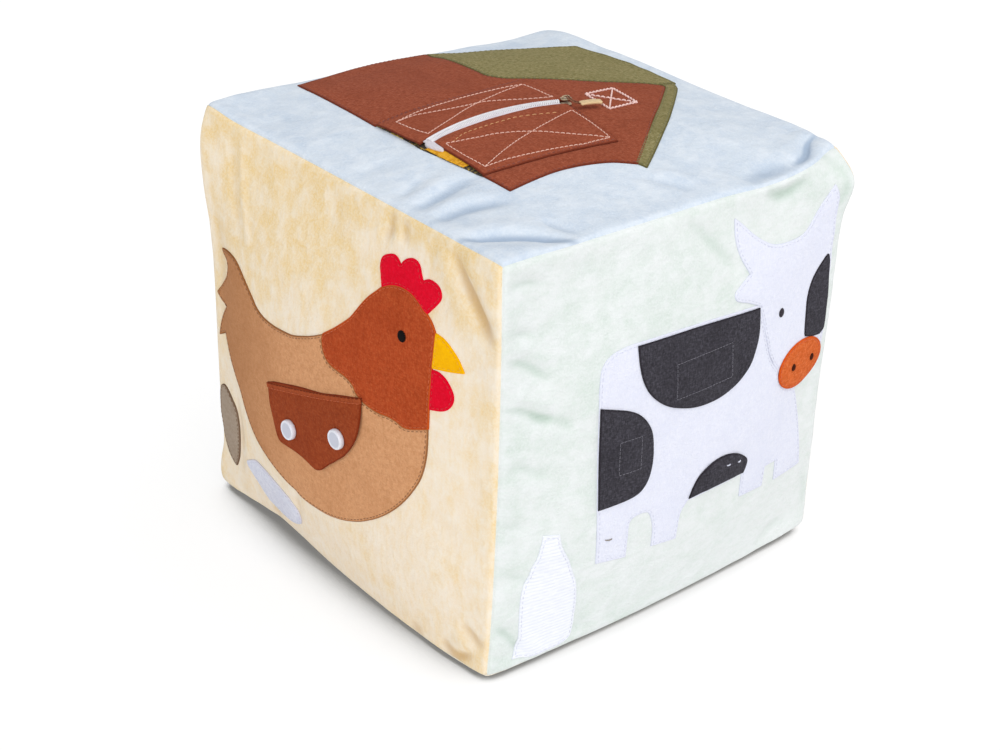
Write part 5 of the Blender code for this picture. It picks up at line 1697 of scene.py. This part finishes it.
def zip_circle():
    # Centre, axis, arm to the bend, direction up there, radius, rest turn
    lower, bend, upper = [zip_point(x, y) for x, y in ZIP_PATH]
    first = bend - lower
    second = upper - lower
    across = np.cross(first, second)
    offset = second * (first @ first) - first * (second @ second)
    offset = np.cross(offset, across) / (2 * across @ across)
    centre = lower + offset
    arm = bend - centre
    turn = np.arccos(unit(arm) @ unit(upper - centre))
    axis = -unit(across)
    forward = unit(np.cross(arm, axis))
    x, y = ZIP_PATH[1]
    step = 1.0
    along = zip_point(x + step, y) - zip_point(x - step, y)
    upward = zip_point(x, y + step) - zip_point(x, y - step)
    normal = unit(np.cross(along, upward))
    normal = unit(normal - forward * (normal @ forward))
    return centre, axis, arm, normal, np.linalg.norm(offset), turn


ZIP = zip_circle()


def zip_frame(distance):
    # Point, up, forward and right on the zip, below the slider's rest place
    centre, axis, arm, upward, radius, rest_turn = ZIP
    turn = Matrix.Rotation(distance * MM / radius - rest_turn, 3, Vector(axis))
    turn = np.array(turn)
    arm = turn @ arm
    upward = turn @ upward
    forward = unit(np.cross(arm, axis))
    return centre + arm, upward, forward, np.cross(forward, upward)


def flat_place(point, face="top"):
    # The place on the face under a point in space
    half_across, half_up = half_sizes(face)
    x, y = point[0] / MM, point[1] / MM
    for _ in range(12):
        found = place(face, np.array([x]), np.array([y]), 0.0)[0]
        x += (point[0] - found[0]) / MM
        y += (point[1] - found[1]) / MM
    return x, y


def stepped(start, end, first=0):
    # Places from one point towards another, at most 0.9 mm apart
    steps = ceil(np.linalg.norm(end - start) / 0.9)
    return [start + (end - start) * k / steps for k in range(first, steps)]


def door_outline(sign, corners, start, end):
    # Down the sewn edge, along the foot and up beside the zip
    edge = []
    for share in range(EDGE_STEPS + 1):
        point, upward, forward, right = zip_frame(
            end + (start - end) * share / EDGE_STEPS)
        edge.append(np.array(flat_place(point + right * sign * DOOR_EDGE * MM)))
    outline = (stepped(corners[0], corners[1]) + stepped(corners[1], edge[0])
               + edge + stepped(edge[-1], corners[0], 1))
    return counter_clockwise(np.array(outline))


def make_door(side, sign, hinge, start):
    corners = [np.array(p) + np.array(MIDDLES["top"]) for p in hinge]
    outline = door_outline(sign, corners, start, DOOR_ENDS[side])
    line = corners[1] - corners[0]
    length = np.linalg.norm(line)
    path = np.array([flat_place(zip_frame(d)[0]) for d in
                     np.linspace(-6, 87, 24)])

    def rise(x, y):
        # Low at the sewn edge, up on the tape along the zip
        away = np.abs((x - corners[0][0]) * line[1]
                      - (y - corners[0][1]) * line[0]) / length
        share = np.clip(away / 6, 0, 1)
        gap = line_distance(x, y, path)[0]
        swell = np.exp(-((gap - 4.5) / 3.2) ** 2)
        return 0.5 * share + 0.4 * swell - 0.4
    felt = Felt("top", outline, DOOR_LOW, FELT, rise, seam=1.3, groove=0.12,
                puff=0.1)
    body = side + "_barn_door"
    shaped(side + "_door_felt", side + "_door", felt, "brick",
           body)
    border, first, second = DOOR_LINES[side]
    stitches(side + "_door_border", felt, [border], LOOKS["white_thread"], body,
             pitch=2.4, share=0.93, radius=0.23, closed=False)
    stitches(side + "_door_cross", felt,
             [curve_through(p) for p in (first, second)],
             LOOKS["white_thread"], body, pitch=2.4, share=0.93, radius=0.22,
             closed=False)
    if side == "right":
        stitches("right_door_zip_stitches", felt, [curve_through(GOLD_LINE)],
                 LOOKS["gold_thread"], body, pitch=3.2, share=0.7, radius=0.2,
                 closed=False)
    hinge_line = np.array([corners[0] + (corners[1] - corners[0]) * k
                           for k in (0.02, 0.5, 0.98)])
    inward_step = np.array((-line[1], line[0])) / length * 1.3
    middle = outline.mean(0)
    if (middle - hinge_line[1]) @ inward_step < 0:
        inward_step = -inward_step
    stitches(side + "_door_hinge_stitches", felt, [hinge_line + inward_step],
             LOOKS["brick_thread"], body, pitch=2.6, radius=0.2, closed=False)
    make_tape(side, sign, body)
    make_coil(side, sign, body)


def make_tape(side, sign, body):
    # A woven strip along the zip, its outer edge under the door's felt
    section = ((TAPE_INNER, -0.35), (TAPE_INNER, 0.15), (TAPE_INNER + 0.4, 0.32),
               (TAPE_OUTER - 0.5, 0.22), (TAPE_OUTER, 0.0), (TAPE_OUTER, -0.35))
    rows = []
    flats = []
    for distance in np.linspace(COIL_START, COIL_END + 0.8, 60):
        point, upward, forward, right = zip_frame(distance)
        rows.append([point + (right * sign * x + upward * z) * MM
                     for x, z in section])
        flats += [(x * MM, distance * MM, 0) for x, z in section]
    thing = loft(side + "_tape_weave", rows, LOOKS["tape"], body, sign < 0)
    add_values(thing, "flat", np.array(flats))
    stand_for(side + "_zip_tape")


def make_coil(side, sign, body):
    # Loops of nylon coil that mesh with the other side's
    pitch = 0.95
    count = int((COIL_END - COIL_START) / pitch)
    centres = []
    normals = []
    for i in range(count):
        start = COIL_START + (i + (0.5 if sign > 0 else 0.0)) * pitch
        turn = np.linspace(-0.35, pi + 0.35, 9)
        rows = []
        for angle in turn:
            point, upward, forward, right = zip_frame(
                start - 0.18 * cos(angle) * pitch)
            across = 0.95 - 0.8 * cos(angle)
            height = 0.3 + 0.5 * sin(angle)
            rows.append(point + (right * sign * across + upward * height) * MM)
        centres.append(rows)
        normals.append([forward] * len(turn))
    sizes = np.array((0.8, 1, 1, 1, 1, 1, 1, 1, 0.8)) * 0.33 * MM
    points, faces = tubes(np.array(centres), np.array(normals), sizes)
    thing = add_mesh(side + "_coil_loops", points, faces, LOOKS["coil"], body)
    stand_for(side + "_zip_coil")


def make_barn():
    middle = MIDDLES["top"]
    pieces = (
        ("barn_wall", BARN_WALL, "brick", "brick_felt", "brick_thread"),
        ("barn_roof", BARN_ROOF, "olive", "olive_felt", "olive_thread"),
        ("roof_edge", ROOF_EDGE, "olive", "olive_felt", "olive_thread"),
    )
    made = {}
    for name, shares, look, slot, thread in pieces:
        felt = Felt("top", grown(smooth_outline(shares, middle)), FIRST, FELT,
                    seam=1.2, groove=0.15)
        shaped(name + "_felt", name, felt, look)
        sew_round(name + "_stitches", felt, thread, inset=1.2, radius=0.18)
        made[name] = felt
    lining = Felt("top", smooth_outline(POCKET_LINING, middle), LINING_LOW,
                  LINING, None, 1.0, 0.05, 0.0)
    shaped("pocket_lining_cloth", "pocket_lining", lining, "lining")
    hay = Felt("top", smooth_outline(HAY, middle), HAY_LOW, 0.5, None, 1.2, 0.1,
               0.1)
    shaped("hay_felt_piece", "hay_felt", hay, "hay")
    foot = Felt("top", smooth_outline(ZIP_FOOT, middle), HAY_LOW, 1.9, None, 0.8,
                0.1, 0.0)
    shaped("zip_foot_tape", "zip_foot", foot, "tape")
    wall = made["barn_wall"]
    stitches("window_border", wall, [WINDOW], LOOKS["window_thread"],
             pitch=2.3, share=0.95, radius=0.5)
    cross = [(WINDOW[0], WINDOW[2]), (WINDOW[1], WINDOW[3])]
    stitches("window_cross", wall, cross, LOOKS["window_thread"], pitch=2.3,
             share=0.95, radius=0.44, closed=False)
    make_door("left", -1, LEFT_DOOR, LEFT_DOOR_START)
    make_door("right", 1, RIGHT_DOOR, RIGHT_DOOR_START)


# ---------------------------------------------------------------- the slider
def round_ring(half_wide, low, high, power=0.5, sides=20):
    # A rounded box's outline across the zip: right and up, in millimetres
    turn = np.arange(sides) * 2 * pi / sides
    across = np.sign(np.cos(turn)) * np.abs(np.cos(turn)) ** power * half_wide
    up = np.sign(np.sin(turn)) * np.abs(np.sin(turn)) ** power
    return across, (low + high) / 2 + up * (high - low) / 2


SLIDER_PLATE = ((-2.6, 1.1), (-2.4, 1.6), (-1.3, 2.0), (0.6, 2.1), (1.9, 2.0),
                (2.4, 1.4), (2.6, 0.8))


def make_slider():
    # Two plates over and under the coil, and the bridge that holds the bail
    point, upward, forward, right = zip_frame(0.0)

    def ring(along, half_wide, low, high, power=0.5):
        across, up = round_ring(half_wide, low, high, power)
        return (point + forward * along * MM + right * across[:, None] * MM
                + upward * up[:, None] * MM)
    for part, low, high in (("lower", -1.0, -0.6), ("upper", 1.35, 1.9)):
        rows = [ring(y, w, low, high) for y, w in SLIDER_PLATE]
        thing = loft("slider_%s_plate" % part, rows, LOOKS["bronze"],
                     "zip_runner")
        stand_for("zip_slider")
    bridge = curve_through(((-1.9, 1.7), (-1.7, 2.5), (-0.8, 2.9), (0.5, 2.9),
                            (1.4, 2.5), (1.7, 1.7)), 4)
    centres = np.array([point + (forward * y + upward * z) * MM
                        for y, z in bridge])[None]
    normals = np.repeat(right[None, None], len(bridge), 1)
    points, faces = tubes(centres, normals, np.full(len(bridge), 0.42 * MM), 10)
    thing = add_mesh("slider_bridge", points, faces, LOOKS["bronze"],
                     "zip_runner")
    stand_for("zip_slider")


# The bail and the ribbon: places over the barn as the photograph shows them,
# from the middle of the top side, with their heights, in millimetres
BAIL_LINE = ((8.9, 18.6, 5.1), (11.0, 18.9, 4.2), (13.4, 19.8, 3.5),
             (15.6, 21.2, 3.5), (16.1, 22.2, 3.5), (14.8, 22.4, 3.5),
             (12.6, 20.9, 3.6), (10.4, 20.2, 4.3), (8.6, 19.9, 5.1))
TAB_LINE = ((15.7, 21.4, 3.5), (16.4, 24.2, 3.8), (17.5, 27.8, 3.95),
            (18.8, 31.4, 3.8))
TAB_WIDTH = 3.7


def make_bail():
    line = curve_through([p[:2] for p in BAIL_LINE], 5)
    share = np.linspace(0, 1, len(line))
    heights = np.interp(share, np.linspace(0, 1, len(BAIL_LINE)),
                        [p[2] for p in BAIL_LINE])
    centres = place("top", line[:, 0], line[:, 1], heights)
    over = place("top", line[:, 0], line[:, 1], heights + 1)
    points, faces = tubes(centres[None], unit(over - centres)[None],
                          np.full(len(line), 0.3 * MM), 10)
    thing = add_mesh("zip_bail_wire", points, faces, LOOKS["wire"], "zip_pull")
    stand_for("zip_bail")


def make_tab():
    # A ribbon folded round the bail's far end, its two layers lying together
    places = np.array(TAB_LINE)
    line = curve_through(places[:, :2], 8)
    heights = np.interp(np.linspace(0, 1, len(line)),
                        np.linspace(0, 1, len(places)), places[:, 2])
    low = place("top", line[:, 0], line[:, 1], heights)
    over = unit(place("top", line[:, 0], line[:, 1], heights + 1) - low)
    ahead = unit(np.gradient(low, axis=0))
    side = unit(np.cross(ahead, over))
    across = np.linspace(-1, 1, 7)
    rows = []
    flats = []
    starts = along_line(low)[1] / MM
    last = len(low) - 1
    for i, (point, up, beside) in enumerate(zip(low, over, side)):
        # Rounded at the fold, parted a little at the free end
        thick = 0.42 if i else 0.22
        thick = thick + 0.15 * (i / last)
        ring = []
        for sign in (1, -1):
            for share in across * sign:
                bulge = 0.08 * (1 - share ** 2)
                ring.append(point + (beside * share * TAB_WIDTH / 2
                                     + up * sign * (thick + bulge)) * MM)
                flats.append((share * TAB_WIDTH / 2 * MM, starts[i] * MM, 0))
        rows.append(ring)
    thing = loft("zip_tab_ribbon", rows, LOOKS["ribbon"], "zip_pull")
    add_values(thing, "flat", np.array(flats))
    stand_for("zip_tab")


# --------------------------------------------------------- floor and lights
# The floor's colour for light; how much of what the camera sees of it is
# even and how much takes the light; and the painted contact shadow
FLOOR_HALF = 6.0
FLOOR_PALE = 0.85
FLOOR_EVEN = 0.80
FLOOR_LIT = 0.25
CONTACT_REACH = 0.04
CONTACT_DEPTH = 8.5
CONTACT_FALL = 4.6
CONTACT_LIGHT = 1.2
CONTACT_DARKEST = 0.10
# Where the painted shadow fades, along X
CONTACT_SIDE = (0.075, 0.118)


def make_stage():
    look = bpy.data.materials.new("studio_floor")
    look.use_nodes = True
    look.cycles.emission_sampling = "NONE"
    tree = look.node_tree
    tree.nodes.remove(tree.nodes["Principled BSDF"])

    def math(how, one, other):
        made = tree.nodes.new("ShaderNodeMath")
        made.operation = how
        for socket, value in zip(made.inputs, (one, other)):
            if isinstance(value, bpy.types.NodeSocket):
                tree.links.new(value, socket)
            else:
                socket.default_value = value
        return made.outputs[0]
    path = tree.nodes.new("ShaderNodeLightPath")
    seen = math("MAXIMUM", path.outputs["Is Camera Ray"],
                path.outputs["Is Glossy Ray"])
    near = tree.nodes.new("ShaderNodeAmbientOcclusion")
    near.samples = 16
    near.inputs["Distance"].default_value = CONTACT_REACH
    hidden = math("SUBTRACT", 1.0, near.outputs["AO"])
    # A painted shadow from ambient occlusion, fading out towards the right,
    # the side that the lamps light
    spot = tree.nodes.new("ShaderNodeSeparateXYZ")
    tree.links.new(tree.nodes.new("ShaderNodeTexCoord").outputs["Object"],
                   spot.inputs[0])
    share = tree.nodes.new("ShaderNodeMapRange")
    share.interpolation_type = "SMOOTHSTEP"
    tree.links.new(spot.outputs["X"], share.inputs["Value"])
    for socket, value in zip(("From Min", "From Max", "To Min", "To Max"),
                             (*CONTACT_SIDE, CONTACT_DEPTH, CONTACT_LIGHT)):
        share.inputs[socket].default_value = value
    painted_shadow = math("MULTIPLY", math("POWER", hidden, CONTACT_FALL),
                  share.outputs[0])
    left = math("MAXIMUM", math("SUBTRACT", 1.0, painted_shadow), CONTACT_DARKEST)
    # The even glow that the camera sees carries the painted shadow
    even = tree.nodes.new("ShaderNodeEmission")
    tree.links.new(math("MULTIPLY", left, FLOOR_EVEN), even.inputs["Strength"])
    lit = tree.nodes.new("ShaderNodeBsdfDiffuse")
    lit.inputs["Color"].default_value = (FLOOR_LIT, FLOOR_LIT, FLOOR_LIT, 1)
    both = tree.nodes.new("ShaderNodeAddShader")
    tree.links.new(even.outputs[0], both.inputs[0])
    tree.links.new(lit.outputs[0], both.inputs[1])
    matt = tree.nodes.new("ShaderNodeBsdfDiffuse")
    matt.inputs["Color"].default_value = (FLOOR_PALE, FLOOR_PALE, FLOOR_PALE, 1)
    choice = tree.nodes.new("ShaderNodeMixShader")
    tree.links.new(seen, choice.inputs[0])
    tree.links.new(matt.outputs[0], choice.inputs[1])
    tree.links.new(both.outputs[0], choice.inputs[2])
    tree.links.new(choice.outputs[0],
                   tree.nodes["Material Output"].inputs["Surface"])
    mesh = bpy.data.meshes.new("floor")
    mesh.from_pydata([(x * FLOOR_HALF, y * FLOOR_HALF, 0) for x, y in
                      ((-1, -1), (1, -1), (1, 1), (-1, 1))], [], [(0, 1, 2, 3)])
    mesh.materials.append(look)
    floor = bpy.data.objects.new("floor", mesh)
    bpy.context.scene.collection.objects.link(floor)


# A pale surround, brighter towards one side, and three broad lamps
WORLD_LEVEL = 0.42
WORLD_SIDE = (0.75, 0.15, 0.65)
WORLD_SLOPE = 0.45
SUNS = (
    ("side", (0.75, -0.50, 0.30), 0.84, 50),
    ("top", (0.38, 0.33, 0.86), 1.16, 60),
    ("front", (0.22, -0.90, 0.38), 0.72, 60),
)


def make_world():
    world = bpy.data.worlds.new("studio")
    world.use_nodes = True
    bpy.context.scene.world = world
    tree = world.node_tree
    sky = tree.nodes["Background"]
    sky.inputs["Color"].default_value = (1, 1, 1, 1)
    place = tree.nodes.new("ShaderNodeTexCoord")
    side = tree.nodes.new("ShaderNodeVectorMath")
    side.operation = "DOT_PRODUCT"
    tree.links.new(place.outputs["Generated"], side.inputs[0])
    side.inputs[1].default_value = WORLD_SIDE
    slope = tree.nodes.new("ShaderNodeMapRange")
    slope.inputs["From Min"].default_value = -1.0
    slope.inputs["From Max"].default_value = 1.0
    slope.inputs["To Min"].default_value = WORLD_LEVEL * (1 - WORLD_SLOPE)
    slope.inputs["To Max"].default_value = WORLD_LEVEL * (1 + WORLD_SLOPE)
    tree.links.new(side.outputs["Value"], slope.inputs["Value"])
    path = tree.nodes.new("ShaderNodeLightPath")
    seen = tree.nodes.new("ShaderNodeMath")
    seen.operation = "MAXIMUM"
    also = tree.nodes.new("ShaderNodeMath")
    also.operation = "MAXIMUM"
    level = tree.nodes.new("ShaderNodeMapRange")
    level.inputs["To Max"].default_value = 1.0
    tree.links.new(slope.outputs[0], level.inputs["To Min"])
    tree.links.new(path.outputs["Is Camera Ray"], seen.inputs[0])
    tree.links.new(path.outputs["Is Glossy Ray"], seen.inputs[1])
    tree.links.new(seen.outputs[0], also.inputs[0])
    tree.links.new(path.outputs["Is Transmission Ray"], also.inputs[1])
    tree.links.new(also.outputs[0], level.inputs["Value"])
    tree.links.new(level.outputs[0], sky.inputs["Strength"])
    for name, source, strength, spread in SUNS:
        lamp = bpy.data.lights.new(name, "SUN")
        lamp.energy = strength
        lamp.angle = spread * pi / 180
        thing = bpy.data.objects.new(name, lamp)
        thing.rotation_euler = Vector(source).to_track_quat("Z", "Y").to_euler()
        bpy.context.scene.collection.objects.link(thing)


# The camera, fitted to the photograph
CAMERA_TURN = 0.84565
CAMERA_RISE = 0.46851
CAMERA_ROLL = 0.03627
CAMERA_DISTANCE = 0.922565
CAMERA_TARGET = (0, 0, 0.104)
CAMERA_SHIFT = (-0.00934, -0.02653)
CAMERA_PIXELS = 1905.04


def make_camera():
    back = np.array((sin(CAMERA_TURN) * cos(CAMERA_RISE),
                     -cos(CAMERA_TURN) * cos(CAMERA_RISE), sin(CAMERA_RISE)))
    right = np.array((cos(CAMERA_TURN), sin(CAMERA_TURN), 0))
    up = np.cross(back, right)
    position = np.array(CAMERA_TARGET) + back * CAMERA_DISTANCE
    ahead = unit(-back + right * CAMERA_SHIFT[0] + up * CAMERA_SHIFT[1])
    level = unit(np.cross(ahead, (0, 0, 1)))
    above = np.cross(level, ahead)
    right = level * cos(CAMERA_ROLL) + above * sin(CAMERA_ROLL)
    up = above * cos(CAMERA_ROLL) - level * sin(CAMERA_ROLL)
    camera = bpy.data.cameras.new("camera")
    camera.sensor_width = 36
    camera.lens = CAMERA_PIXELS / 1000 * 36
    camera.clip_start = 0.01
    thing = bpy.data.objects.new("camera", camera)
    thing.matrix_world = Matrix([(right[k], up[k], -ahead[k], position[k])
                                 for k in range(3)] + [(0, 0, 0, 1)])
    bpy.context.scene.collection.objects.link(thing)
    bpy.context.scene.camera = thing


make_camera()
make_world()
make_stage()
make_filling()
for side in FACES:
    make_panel(side)
make_hen()
make_wing()
make_cow()
make_spots()
make_barn()
make_slider()
make_bail()
make_tab()
bpy.context.scene.view_settings.view_transform = "Standard"
